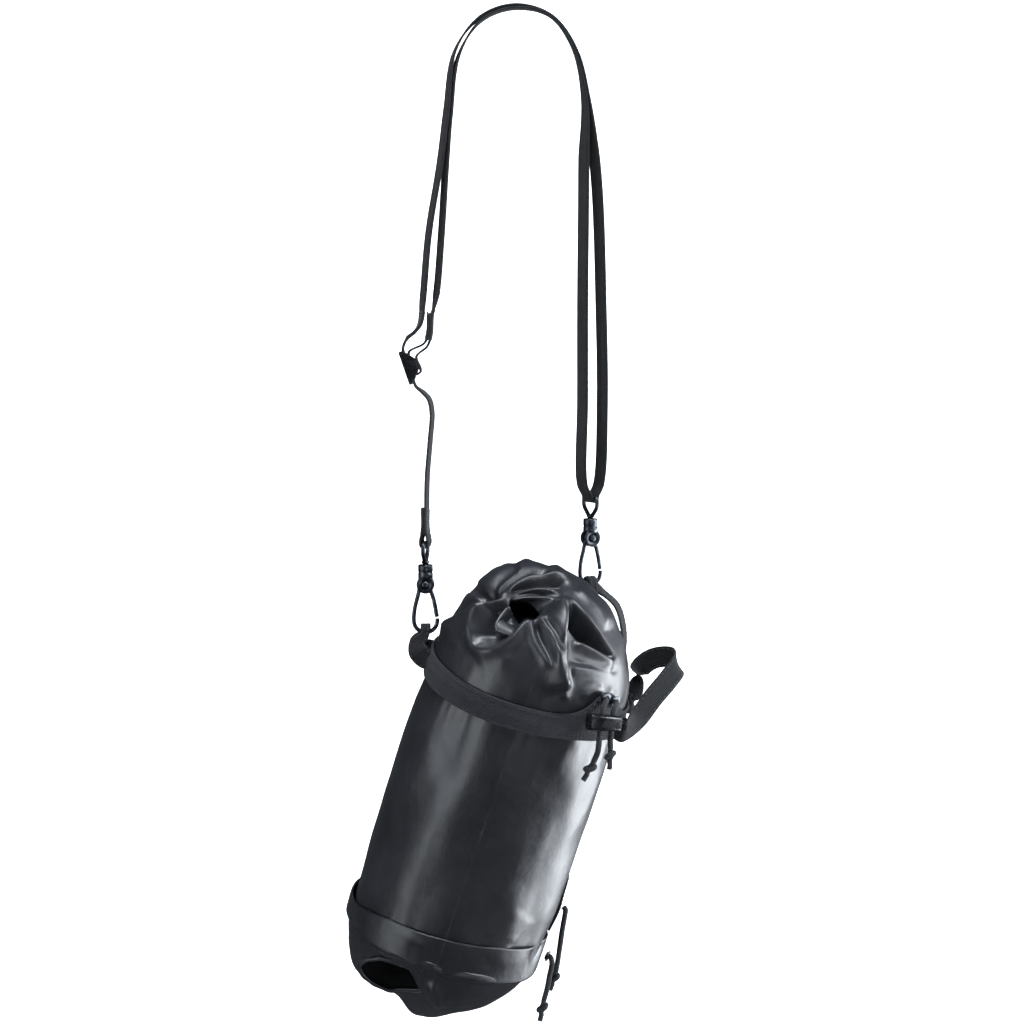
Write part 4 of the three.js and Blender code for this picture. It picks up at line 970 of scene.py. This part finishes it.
# Rings from the lip down round the base and into the mouth, in the collar's order.
SLEEVE_RINGS = [
    (-71.9, 71.9, -71.9, 0, 71.9, 0, 0), (-72.2, 72, -72.2, -179, 72, -186, 0),
    (-71.5, 70, -71.3, -186, 70, -199, 0), (-69.5, 66.5, -70, -191, 64, -213, 0),
    (-66.5, 60.5, -68, -195, 54, -225, -6), (-63, 52, -66, -198, 42, -235, -12),
    (-59.5, 41, -64, -199.5, 24, -244, -17), (-55.5, 24, -62.5, -199.5, 0, -247, -17),
    (-51, 2, -61, -198.5, -34, -235, 2), (-49.5, -1, -57, -197.5, -33, -231, 2),
    (-47, -4, -46, -192, -24, -220, 0), (-45, -7, -30, -191, -13, -210, 0),
    (-43, -9, -14, -191, -1, -202, 0),
]
# The ring at the rim of the mouth.
RIM_RING = 8
SLEEVE_FOLDS = [
    # the fold right of the mouth, with the dark fold that runs into it
    ([(-22, -214), (-13, -214), (-4, -218), (2, -226), (5, -236)], 1.8, 7, 5),
    ([(-20, -198), (-14, -205), (-6, -212)], -2.0, 5, 6),
    ([(-70, -193), (-66, -207), (-58, -219)], 1.4, 5, 6),
    # the notch beside the mouth and the smooth lobe right of it
    ([(4, -234), (10, -244), (15, -256)], -3.5, 4.0, 4.0),
    ([(40, -200), (30, -218), (20, -242)], 1.6, 13, 11),
]


def lip_height(turn):
    degrees = (np.degrees(turn) + 180) % 360 - 180
    at, height = zip(*LIP_HEIGHTS)
    return np.interp(degrees, at, height)


def ring_row(ring, columns):
    """Heights round one ring."""
    turn = np.linspace(0, 2 * math.pi, columns, endpoint=False)
    return ((ring[3] + ring[5]) / 2 - (ring[5] - ring[3]) / 2 * np.cos(turn)
            + ring[6] * right_share(turn))


def make_sleeve():
    rows, columns = 150, 320
    grid, place, turn = ring_spots(SLEEVE_RINGS, rows, columns)
    to_lip = smoothstep(1 - place).reshape(rows, columns)
    cuff = (lip_height(turn).reshape(rows, columns) * to_lip
            + ring_row(SLEEVE_RINGS[1], columns) * (1 - to_lip))
    grid[:, :, 2] = np.where(place.reshape(rows, columns) < 1, cuff, grid[:, :, 2])
    spots, normals, move = shaped(grid, SLEEVE_FOLDS)
    move *= smoothstep((26 - spots[:, 1]) / 20) * smoothstep((RIM_RING + 1 - place) / 1.5)
    move += lumps(spots * [1, 1, 0.5], size=34, seed=7.7) * 0.8 * smoothstep(place - 0.4)
    move += lumps(spots * [1, 1, 0], size=14, seed=40.2) * 0.4 * np.exp(-((place / 0.9) ** 2))
    # stands out round the drawcord's eyelet
    off = (np.degrees(turn) - LOWER_EXIT_SIDE) / 9
    move += 4.6 * np.exp(-off**2 - ((spots[:, 2] - LOWER_CORD_HEIGHT) / 9) ** 2)
    behind = smoothstep((spots[:, 1] - 5) / 20) * smoothstep((place - 4) / 3)
    move += behind * 1.5 * np.sin(13 * turn + 2 * lumps(spots, size=25, seed=9.9))
    # the lip lies close on the wall, so it goes in only a little
    move = np.where(place < 0.5, np.maximum(move, -0.4), move)
    grid = softened((spots + normals * move[:, None]).reshape(rows, columns, 3), times=9)
    sleeve = cloth("sleeve_cloth", grid, GATHERED_THICKNESS)
    dress(sleeve, "bag", COATED, "coated_fabric", ["lower_sleeve", "lower_cuff", "lower_drawcord"])
    turned_in(sleeve, grid, place, RIM_RING + 0.4)
    make_sleeve_edges(grid, place)


def make_sleeve_edges(grid, place):
    """The folded lip at the top and the rolled hem at the mouth."""
    columns = grid.shape[1]
    lip = [Vector(p) for p in to_world(grid[0]).tolist()]
    edge = tube("sleeve_lip", lip, 0.5, sides=10, is_ring=True)
    dress(edge, "bag", COATED, "coated_fabric")
    row = int(np.argmax(place.reshape(grid.shape[:2])[:, 0] >= RIM_RING))
    rim = [Vector(p) for p in to_world(grid[row]).tolist()][::2]
    hem = tube("mouth_hem", rim, 1.5, sides=12, is_ring=True,
               swell=lambda turn, travelled: 1 + 0.12 * math.sin(travelled * 0.55 + turn))
    dress(hem, "bag", COATED, "coated_fabric", ["sleeve_hem"])


# ---- rim tape -----------------------------------------------------------------------------

TAPE_BACK = 70.6  # radius of the tape's inner face
TAPE_WIDTH = 21  # widest that its weave is laid
# Heights of the tape's edges by degrees from the front towards +X.
TAPE_TOP = [(-180, 14), (-110, 13.6), (-78, 12.2), (-28, 11.7), (-3, 13), (14, 14.2), (24, 16), (32, 19.5),
            (38, 27), (43, 34.5), (50, 33.5), (56, 29), (62, 21), (70, 16), (90, 14.4), (180, 14)]
TAPE_BOTTOM = [(-180, -6), (-78, -7.6), (-40, -7), (-10, -5.3), (24, -2.6), (40, -2.4), (55, -3), (80, -5),
               (180, -6)]


def eased_ring(heights):
    """Heights round the ring with their corners eased over 13 places."""
    wrapped = np.concatenate([heights[-6:], heights, heights[:6]])
    return np.convolve(wrapped, np.ones(13) / 13, "valid")


def make_tape():
    """Ribbed tape round the rim, over the drawcord, pulled up into a peak where the cords come out."""
    columns = 540
    degrees = np.linspace(-180, 180, columns, endpoint=False)
    top = eased_ring(np.interp(degrees, *zip(*TAPE_TOP)))
    bottom = eased_ring(np.interp(degrees, *zip(*TAPE_BOTTOM)))
    # Across the tape: share of its width, and how far it stands off its back.
    section = [(0.0, 0.5), (0.0, 1.3), (0.015, 1.9), (0.05, 2.15)]
    section += [(share, 2.2) for share in np.linspace(0.1, 0.9, 15)]
    section += [(0.95, 2.15), (0.985, 1.9), (1.0, 1.3), (1.0, 0.5)]
    turn = np.radians(degrees)
    sides = np.stack([np.sin(turn), -np.cos(turn), np.zeros(columns)], axis=-1)
    rows = []
    for share, lift in section:
        height = bottom + (top - bottom) * share
        radius = TAPE_BACK + lift - np.clip((height - 15) / 20, 0, 1) * 0.6
        if lift > 0.6:
            over_cord = 0.75 * np.exp(-((height - CHANNEL_CENTRE) / 3.2) ** 2)
            radius += over_cord + lumps(sides * 70 + [0, 0, 1] * height[:, None], size=16, seed=6.6) * 0.45
        rows.append(np.stack([radius * np.sin(turn), -radius * np.cos(turn), height], axis=-1))
    grid = np.stack(rows)
    outlines = [[Vector(p) for p in to_world(grid[:, i]).tolist()] for i in range(columns)]
    lay = []
    for i in range(columns):
        width = min(top[i] - bottom[i], TAPE_WIDTH)
        lay += [(share * width, math.radians(degrees[i]) * TAPE_OUTSIDE, 0) for share, _ in section]
    tape = swept("rim_tape_band", outlines, lay, is_ring=True)
    dress(tape, "bag", TAPE, "woven_tape", ["rim_tape", "cord_gusset"])
    make_tape_stitches(degrees, top, bottom)


def make_tape_stitches(degrees, top, bottom):
    """One row of stitches near each edge of the tape."""
    pitch, inset = 3.1, 1.8
    steps = int(2 * math.pi * TAPE_OUTSIDE / pitch)

    def on_edge(angle, edge, lift):
        return side_point(angle, TAPE_OUTSIDE + 0.15, float(np.interp(angle, degrees, edge)) + lift)

    places = []
    for edge, lift in ((bottom, inset), (top, -inset)):
        for step in range(steps):
            angle = -180 + 360 * step / steps
            here, there = on_edge(angle, edge, lift), on_edge(angle + 1, edge, lift)
            places.append((here, (there - here).normalized(), -round_side(angle).cross(BAG_AXIS)))
    sew("tape_stitches", places, "bag", length=2.3, radius=0.26)


make_body()
make_collar()
make_sleeve()
make_tape()


# ---- strap and webbing --------------------------------------------------------------------

LEFT_BOW = bag_point(-BODY_RADIUS - 9.4, 0, 18.8)
RIGHT_BOW = bag_point(23, BODY_RADIUS - 14.5, 73)
LEFT_BAR = LEFT_BOW + Vector((0, 0, HOOK_REACH))
RIGHT_BAR = RIGHT_BOW + Vector((0, 0, HOOK_REACH))
LEFT_EYE_TURN = -8
RIGHT_EYE_TURN = 27
RIGHT_HOOK_TURN = 26
ADJUSTER_BAR = 2.4
ADJUSTER_TRAVEL = 4
ADJUSTER_TILT = math.radians(-18.8)
ADJUSTER_STRAND = ADJUSTER_BAR / 2 + FIT_GAP + WEBBING_THICKNESS / 2
LOOP_RADIUS = ADJUSTER_BAR / 2 + 2 * FIT_GAP + WEBBING_THICKNESS / 2
CENTRE_BAR = ADJUSTER_STRAND + WEBBING_THICKNESS + FIT_GAP + LOOP_RADIUS
TAIL_HEIGHTS = (-232, -212)  # where the strap's end is sewn to its own strand
STRAND_TWIST = 17  # degrees that the two left strands turn between the adjuster and the top


def across_at(degrees):
    turn = math.radians(degrees)
    return Vector((-math.sin(turn), math.cos(turn), 0))


FLAT = across_at(0)


def up_left(x, z):
    return LEFT_BAR + Vector((x, z * LEFT_BAR.y / LEFT_BAR.z, z))


def adjuster_point(x, z):
    return up_left(-13.4, 122.3) + Vector((
        x * math.cos(ADJUSTER_TILT) + z * math.sin(ADJUSTER_TILT), 0,
        -x * math.sin(ADJUSTER_TILT) + z * math.cos(ADJUSTER_TILT)))


def bar_loop(bar, radius, across, spread):
    side = Vector((across.y, -across.x, 0))
    near = [(-spread, 10), (-radius, 1.5), (-radius * 0.71, -radius * 0.71), (0, -radius),
            (radius * 0.71, -radius * 0.71), (radius, 1.5), (spread, 10)]
    return [(bar + side * s + Vector((0, 0, z)), across) for s, z in near]


def strap_stops():
    """One length of webbing from the left hook round the right hook's eye and back to the adjuster.
    run() goes by shares of the way from the strap's top down to a bar."""
    loop = WIRE_RADIUS + LAYER_GAP + WEBBING_THICKNESS / 2
    left_across, right_across = across_at(LEFT_EYE_TURN), across_at(RIGHT_EYE_TURN)
    turning = across_at(RIGHT_EYE_TURN * 0.5)
    twisted, twisting = across_at(STRAND_TWIST), across_at(STRAND_TWIST / 2)

    def left(x, z, across=left_across):
        return up_left(x, z), across

    def run(bar, x, z, across, offset=0):
        return Vector((bar.x * x - offset * math.copysign(1, bar.x), bar.y * z, bar.z * z)), across

    def top(drop):
        return Vector((0, 0, -WEBBING_THICKNESS / 2 - drop)), FLAT

    def right_down(offset, splay):
        return [run(RIGHT_BAR, x, z, across, offset * kept + splay * spread)
                for x, z, across, kept, spread in (
                    (0.47, 0.0235, FLAT, 0.4, 0), (0.79, 0.09, FLAT, 1, 0), (0.935, 0.19, turning, 1, 0),
                    (1.03, 0.305, right_across, 1, 0.5), (1.08, 0.4, right_across, 1, 0.75),
                    (1.125, 0.6, right_across, 1, 1), (1.15, 0.8, right_across, 1, 1.1))]

    half = LAYER / 2
    hook_end = [
        left(-half, 25), *bar_loop(LEFT_BAR, loop, left_across, half),
        *[left(x, z) for x, z in (
            (half, 25), (1.4, 46), (3.5, 72), (4.8, 91), (2.8, 100.5), (-1.6, 105.5))],
    ]
    through = [(adjuster_point(ADJUSTER_STRAND, z), FLAT) for z in (-14, -7, 0, 7, 13)]
    left_up = [
        left(-12.6, 142.8, FLAT), left(-7.4, 147.2, FLAT), left(-3.6, 153, twisting),
        left(-1.6, 170, twisted),
        *[run(LEFT_BAR, x, z, twisted) for x, z in ((0.96, 0.4225), (0.832, 0.2914), (0.762, 0.198))],
        run(LEFT_BAR, 0.667, 0.0856, twisting), run(LEFT_BAR, 0.389, 0.0245, FLAT),
    ]
    bend = bar_loop(RIGHT_BAR, loop, right_across, 6.8)[::-1]
    lowered = run(LEFT_BAR, 0.37, 0.0245, FLAT)
    left_down = [
        (lowered[0] + Vector((0, 0, -LAYER)), FLAT), run(LEFT_BAR, 0.655, 0.093, twisting, LAYER),
        run(LEFT_BAR, 0.762, 0.2, twisted, LAYER + 0.3), run(LEFT_BAR, 0.832, 0.2914, twisted, LAYER + 2),
        run(LEFT_BAR, 0.93, 0.4225, twisted, 7), left(7.9, 174, twisted), left(4.9, 158, FLAT),
        left(4.1, 146, FLAT), left(1.6, 137.5, FLAT),
    ]
    tail_side, low, r = CENTRE_BAR - LOOP_RADIUS, -ADJUSTER_TRAVEL, LOOP_RADIUS
    sewn_end = [(adjuster_point(x, z), FLAT) for x, z in (
        (CENTRE_BAR + r, ADJUSTER_TRAVEL + 1), (CENTRE_BAR + r, low),
        (CENTRE_BAR + r * 0.71, low - r * 0.71), (CENTRE_BAR, low - r),
        (CENTRE_BAR - r * 0.71, low - r * 0.71), (tail_side, low), (tail_side, ADJUSTER_TRAVEL + 1),
        (tail_side + 1.6, ADJUSTER_TRAVEL + 6))]
    tail = [left(-0.6, 139.5, FLAT), left(1.9, 147, FLAT), left(2.5, 160, FLAT)]
    return [*hook_end, *through, *left_up, top(0), *right_down(0, 0), *bend,
            *right_down(LAYER, 11)[::-1], top(LAYER), *left_down, *sewn_end, *tail]


def bar_tacks(samples):
    """A row of stitches across each face of a strip at each of its samples."""
    places = []
    for centre, along, across, outward, width, thickness in samples:
        for face in (-1, 1):
            on_face = outward * (face * (thickness / 2 + 0.05))
            for share in np.linspace(-0.8, 0.8, 9):
                places.append((centre + across * (width / 2 * share) + on_face, along, outward * face))
    return places


def edge_stitches(samples, inset, pitch, keep=None):
    """A row of stitches near each edge of a strip, on both faces."""
    places = []
    travelled, due = 0, 0
    for (a, *_), (b, along, across, outward, width, thickness) in zip(samples, samples[1:]):
        travelled += (b - a).length
        if travelled < due or (keep and not keep(b)):
            continue
        due = travelled + pitch
        for side in (-1, 1):
            for face in (-1, 1):
                spot = b + across * (side * (width / 2 - inset)) + outward * (face * thickness / 2)
                places.append((spot, along, outward * face))
    return places


def make_strap():
    strap, samples = strip("strap_band", strap_stops())
    dress(strap, "strap", WEBBING, "webbing", ["strap_webbing"])
    hook_loop = [s for s in samples if s[0].x < 0 and 7 < s[0].z - LEFT_BAR.z < 24]
    low, high = TAIL_HEIGHTS
    adjuster_tail = [s for s in samples if s[0].x < -55 and low < s[0].z < high]
    sew("strap_tacks", bar_tacks(hook_loop + adjuster_tail), "strap", length=2.6, radius=0.3)


def near_bow(bow, x, y, z, across, *sizes):
    return (bow + Vector((x, y, z)), across, *sizes)


END_RADIUS = TAPE_OUTSIDE + 0.5
ROOT_RADIUS = END_RADIUS + WEBBING_THICKNESS / 2 + WEBBING_WIDTH ** 2 / (8 * TAPE_OUTSIDE)
BOW_RISE = WIRE_RADIUS + BOW_CLEARANCE + BUNCHED[1] / 2
BACK_ROOT, RIGHT_ROOT = 163, 125  # degrees from the front where the back loop's ends are sewn
HANDLE_FRONT, HANDLE_REAR, HANDLE_LIFT = 64, 106, 2.4


def make_left_tab():
    flat, half = Vector((1, 0, 0)), Vector((0.9, 0, 0.45))

    def root(degrees, lift=0):
        return side_point(degrees, END_RADIUS + lift, CHANNEL_CENTRE), BAG_AXIS

    def near(x, y, z, across, *sizes):
        return near_bow(LEFT_BOW, x, y, z, across, *sizes)

    def up_to_bow(way):
        """From the tape up to the bow, in front of it where way is -1 and behind where it is 1."""
        return [
            root(-90 - 9 * way, -1.2), root(-90 - 8 * way, 2.5), near(-4.6, 8.6 * way, -12, half),
            near(-5.4, 6.6 * way, -7, flat, 12, 2), near(-1, 4.6 * way, -1.5, flat, *BUNCHED),
            near(0, 3 * way, BOW_RISE - 1.4, flat, *BUNCHED),
        ]

    tab, samples = strip("left_tab_web", [
        *up_to_bow(-1), near(0, 0, BOW_RISE, flat, *BUNCHED), *up_to_bow(1)[::-1]])
    dress(tab, "bag", WEBBING, "webbing", ["left_web_tab"])
    sew("left_tab_stitches", edge_stitches(samples, inset=1.6, pitch=2.8), "bag")


def make_back_loop():
    turn = math.radians(RIGHT_HOOK_TURN)
    along = Vector((math.cos(turn), math.sin(turn), 0))
    through = Vector((-math.sin(turn), math.cos(turn), 0))
    edge_on = Vector((0.25, 0.97, 0))

    def near(t, z):
        return (RIGHT_BOW + through * t + Vector((0, 0, z)), along, *BUNCHED)

    def out(x, y, z, across=edge_on, width=WEBBING_WIDTH):
        return near_bow(RIGHT_BOW, x, y, z, across, width)

    loop, samples = strip("back_loop_web", [
        (side_point(BACK_ROOT, ROOT_RADIUS, CHANNEL_CENTRE), -round_side(BACK_ROOT)),
        (side_point(BACK_ROOT, ROOT_RADIUS, 22), -round_side(BACK_ROOT)),
        (bag_point(25, BODY_RADIUS - 5, 48), -round_side(BACK_ROOT)),
        near(-4.8, -5), near(-3.2, BOW_RISE - 1.6), near(0, BOW_RISE), near(3.2, BOW_RISE - 1.6),
        (RIGHT_BOW + Vector((4, 6.6, -2)), Vector((0.6, 0.8, 0)), 9, 2.4),
        out(10, 9, -7), out(20, 9, -17), out(25, 9.5, -40), out(22, 5.5, -58),
        (side_point(RIGHT_ROOT, ROOT_RADIUS, 14), round_side(RIGHT_ROOT)),
        (side_point(RIGHT_ROOT, ROOT_RADIUS, CHANNEL_CENTRE - 3), round_side(RIGHT_ROOT)),
    ])
    dress(loop, "bag", WEBBING, "webbing", ["back_web_loop"])
    sew("back_loop_stitches", edge_stitches(samples, inset=1.7, pitch=2.9), "bag")


def make_handle():
    radius = END_RADIUS + HANDLE_LIFT

    def front(lift):
        return side_point(HANDLE_FRONT, radius + lift, CHANNEL_CENTRE + 1), BAG_AXIS

    def rear(lift):
        return side_point(HANDLE_REAR, radius + lift, CHANNEL_CENTRE + 4), BAG_AXIS

    def out(x, y, z, across):
        return rear(0)[0] + Vector((x, y, z)), Vector(across)

    loop, samples = strip("handle_web", [
        front(-4.2), front(0), front(4), out(6, -41, -4, (-0.45, 0, 0.9)), out(17, -32, 9, (-0.6, 0, 0.8)),
        out(28, -22, 20, (-0.6, 0.1, 0.8)), out(35, -12.5, 28.5, (-0.4, 0.2, 0.9)),
        out(31.5, -2.5, 33, (-0.1, 0.1, 1)), out(19, 4.5, 31, (0, 0, 1)), out(9.5, 7, 23, (0.1, 0, 1)),
        out(6.6, 4, 10, (0.4, 0, 0.9)), rear(4), rear(0), rear(-4.2),
    ], 9)
    loop.data.materials.append(WEBBING)
    inner = (side_point(HANDLE_FRONT, radius - 4.6, 5) + side_point(HANDLE_REAR, radius - 4.6, 8)) / 2
    away = (rear(0)[0] + Vector((22, -18, 15)) - inner).normalized()
    (inner + away * 9) * MM
    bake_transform(loop)
    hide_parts("handle_loop")
    moving = edge_stitches(samples, inset=1.7, pitch=2.9, keep=lambda p: (p - inner).dot(away) > 12)
    sew("handle_stitches", moving, "handle")


def make_side_loop():
    radius = BODY_RADIUS + BODY_BELLY + FIT_GAP + WEBBING_THICKNESS / 2
    across = round_side(SIDE_LOOP_SIDE)
    bottom = -BODY_HEIGHT + 18

    def stop(lift, height):
        return side_point(SIDE_LOOP_SIDE, radius + lift, height), across

    loop, samples = strip("side_loop_web", [
        stop(-0.6, bottom + 41), stop(0, bottom + 38), stop(0.6, bottom + 26), stop(1.4, bottom + 13),
        stop(0, bottom), stop(-0.6, bottom - 4)])
    dress(loop, "bag", WEBBING, "webbing", ["lower_side_loop"])
    sew("side_loop_stitches", edge_stitches(samples, inset=1.7, pitch=2.6), "bag")


make_strap()
make_left_tab()
make_back_loop()
make_handle()
make_side_loop()


# ---- snap hooks ---------------------------------------------------------------------------

# Hook frame: origin at the middle of the eye's top bar, Z up, bow in the XZ plane.

BOW_CENTRE = -HOOK_REACH + BOW_RADIUS
NOSE_HEIGHT = BOW_CENTRE + 1.6
NOSE_GAP = 1.2
Y_AXIS, Z_AXIS = Vector((0, 1, 0)), Vector((0, 0, 1))


class Placed:
    """Puts points and directions of a hook's own frame into the bag's world."""

    def __init__(self, bar, degrees):
        self.bar, self.turn = bar, Matrix.Rotation(math.radians(degrees), 3, "Z")

    def spot(self, x, y, z):
        return self.bar + self.turn @ Vector((x, y, z))

    def way(self, axis):
        return self.turn @ Vector(axis)

    def wire(self, name, stops, is_ring=False, per_span=7):
        route = [p for p, _ in smooth_route([self.spot(*s) for s in stops], per_span, is_ring)]
        return tube(name, route, WIRE_RADIUS, 20, is_ring, first=self.way(Y_AXIS))

    def turned(self, name, profile, height, axis, sides):
        """A turned piece whose profile starts from this height on the hook's middle line."""
        return turned(name, profile, self.spot(0, 0, height), self.way(axis), sides)


def make_eye(side, bar, degrees):
    at = Placed(bar, degrees)
    half = WEBBING_WIDTH / 2 + WIRE_RADIUS + 0.8
    outline = [(0, 0), (half - 3, 0), (half - 0.6, -0.8), (half, -3.4), (half - 0.7, -6.6),
               (half - 4.2, -10.2), (2.4, -12.6), (0, -13)]
    stops = [(0, y, z) for y, z in outline + [(-y, z) for y, z in outline[1:-1][::-1]]]
    eye = at.wire(f"{side}_eye_wire", stops, True, 5)
    stud = at.turned(f"{side}_stud", [
        (0, -22.8), (2.5, -22.7), (2.8, -22.4), (2.8, -21.6), (2.5, -21.3), (2, -21.3), (2, -14.4),
        (2.9, -13.6), (2.9, -12.9), (2.2, -12.3), (0, -12.2)], 0, Z_AXIS, 32)
    both = joined(f"{side}_eye_forging", [eye, stud])
    dress(both, "strap", METAL, "dark_metal", [f"{side}_eye"])


def make_hook(side, bar, degrees):
    at = Placed(bar, degrees)
    arc = [(BOW_RADIUS * math.cos(math.pi * (1 + i / 6)), 0,
            BOW_CENTRE + BOW_RADIUS * math.sin(math.pi * (1 + i / 6))) for i in range(7)]
    spine = [(-HEAD_RADIUS + 2.3, 0, HEAD_HEIGHT - 2), (-BOW_RADIUS + 2.6, 0, HEAD_HEIGHT - 9),
             (-BOW_RADIUS + 0.7, 0, BOW_CENTRE + 9)]
    bow = at.wire(f"{side}_bow", [*spine, *arc, (BOW_RADIUS, 0, NOSE_HEIGHT)])
    r, hole = HEAD_RADIUS, 2.05
    cheeks = []
    for sign in (-1, 1):
        outer, inner = HEAD_THICKNESS / 2, 2.8
        profile = [(hole, inner), (r, inner), (r, outer - 0.5), (r - 0.25, outer - 0.12), (r - 0.7, outer),
                   (3.9, outer), (3.5, outer - 0.35), (hole, outer - 0.35), (hole, inner)]
        cheeks.append(at.turned(f"{side}_cheek", profile, HEAD_HEIGHT, (0, sign, 0), 48))
    neck = at.turned(f"{side}_neck", [
        (2.3, -15.2), (2.6, -15), (4.7, -15), (5.1, -15.35), (5.2, -15.8), (5.2, -19.6), (4.9, -20.1),
        (4.9, -20.6), (5.2, -21.1), (5.2, -24.6), (4.6, -25), (3.1, -25), (3.1, -20.9), (2.3, -20.9),
        (2.3, -15.2)], 0, Z_AXIS, 48)
    body = joined(f"{side}_hook_forging", [bow, *cheeks, neck])
    dress(body, f"{side}_hook", METAL, "dark_metal", [f"{side}_hook_body"])

    disc = at.turned(f"{side}_gate_disc", [
        (hole, -1.5), (4.35, -1.5), (4.6, -1.25), (4.6, 1.25), (4.35, 1.5), (hole, 1.5), (hole, -1.5)],
        HEAD_HEIGHT, Y_AXIS, 40)
    arm = at.wire(f"{side}_gate_arm", [
        (2.6, 0, HEAD_HEIGHT - 2.4), (HEAD_RADIUS - 1.4, 0, HEAD_HEIGHT - 8),
        (BOW_RADIUS - 1.4, 0, (HEAD_HEIGHT + NOSE_HEIGHT) / 2 - 4),
        (BOW_RADIUS - 0.3, 0, NOSE_HEIGHT + NOSE_GAP)])
    gate = joined(f"{side}_gate_forging", [disc, arm])
    dress(gate, f"{side}_gate", METAL, "dark_metal", [f"{side}_gate"])

    shank = HEAD_THICKNESS / 2 + 0.05
    head = [(0, shank + 0.95), (1.2, shank + 0.85), (2.1, shank + 0.5), (2.6, shank), (1.75, shank)]
    profile = [(r, -h) for r, h in head] + head[::-1]
    rivet = at.turned(f"{side}_rivet", profile, HEAD_HEIGHT, Y_AXIS, 32)
    dress(rivet, f"{side}_hook", METAL, "dark_metal", [f"{side}_gate_rivet"])


make_eye("left", LEFT_BAR, LEFT_EYE_TURN)
make_eye("right", RIGHT_BAR, RIGHT_EYE_TURN)
make_hook("left", LEFT_BAR, 0)
make_hook("right", RIGHT_BAR, RIGHT_HOOK_TURN)


# ---- hard parts that keep their CAD shape, with eased edges --------------------------------

for name, node_name, body, bevel in (
    ("slider", "strap_adjuster", "adjuster", 0.4),
    ("toggle_barrel", "cord_lock_barrel", "cord_lock", 0.35),
    ("toggle_button", "cord_lock_button", "lock_button", 0.3),
):
    dress(refined(name, node_name, bevel), body, PLASTIC, SLOT_OF[node_name], [node_name])


# ---- floor and light ----------------------------------------------------------------------


def make_sweep():
    """A pale floor that curves up into a backdrop."""
    lowest = cad_box[0].z / MM - 260
    profile = [(-4200, lowest), (1500, lowest)]
    profile += [(1500 + 900 * math.sin(a), lowest + 900 * (1 - math.cos(a)))
                for a in np.linspace(0.1, math.pi / 2, 14)]
    profile.append((2400, 4200))
    corners = [(x, y, z) for y, z in profile for x in (-4500, 4500)]
    sweep = mesh_object("sweep", corners, grid_faces(len(profile), 2, False))
    sweep.data.materials.append(pale_sweep())
    sweep.visible_glossy = False


def make_light():
    middle = (0, 0, -0.5)
    make_lamp("left_front", (-1.75, -1.1, -0.45), middle, (0.75, 1.7), 21)
    make_lamp("right_wall", (1.75, 0.45, -1.05), middle, (1.9, 1.7), 135)
    make_lamp("right_high", (1.7, -0.5, 0.4), middle, (0.6, 1.0), 30)
    make_lamp("top", (0.1, -0.5, 1.4), middle, (1.0, 0.8), 62)
    make_lamp("low_front", (0.9, -2.4, -1.3), middle, (1.2, 0.7), 10)
    world = bpy.data.worlds.new("studio")
    bpy.context.scene.world = world
    world.use_nodes = True
    background = world.node_tree.nodes["Background"]
    background.inputs["Color"].default_value = tint(0.86, 0.92, 1.0)
    background.inputs["Strength"].default_value = 0.07


make_sweep()
make_light()
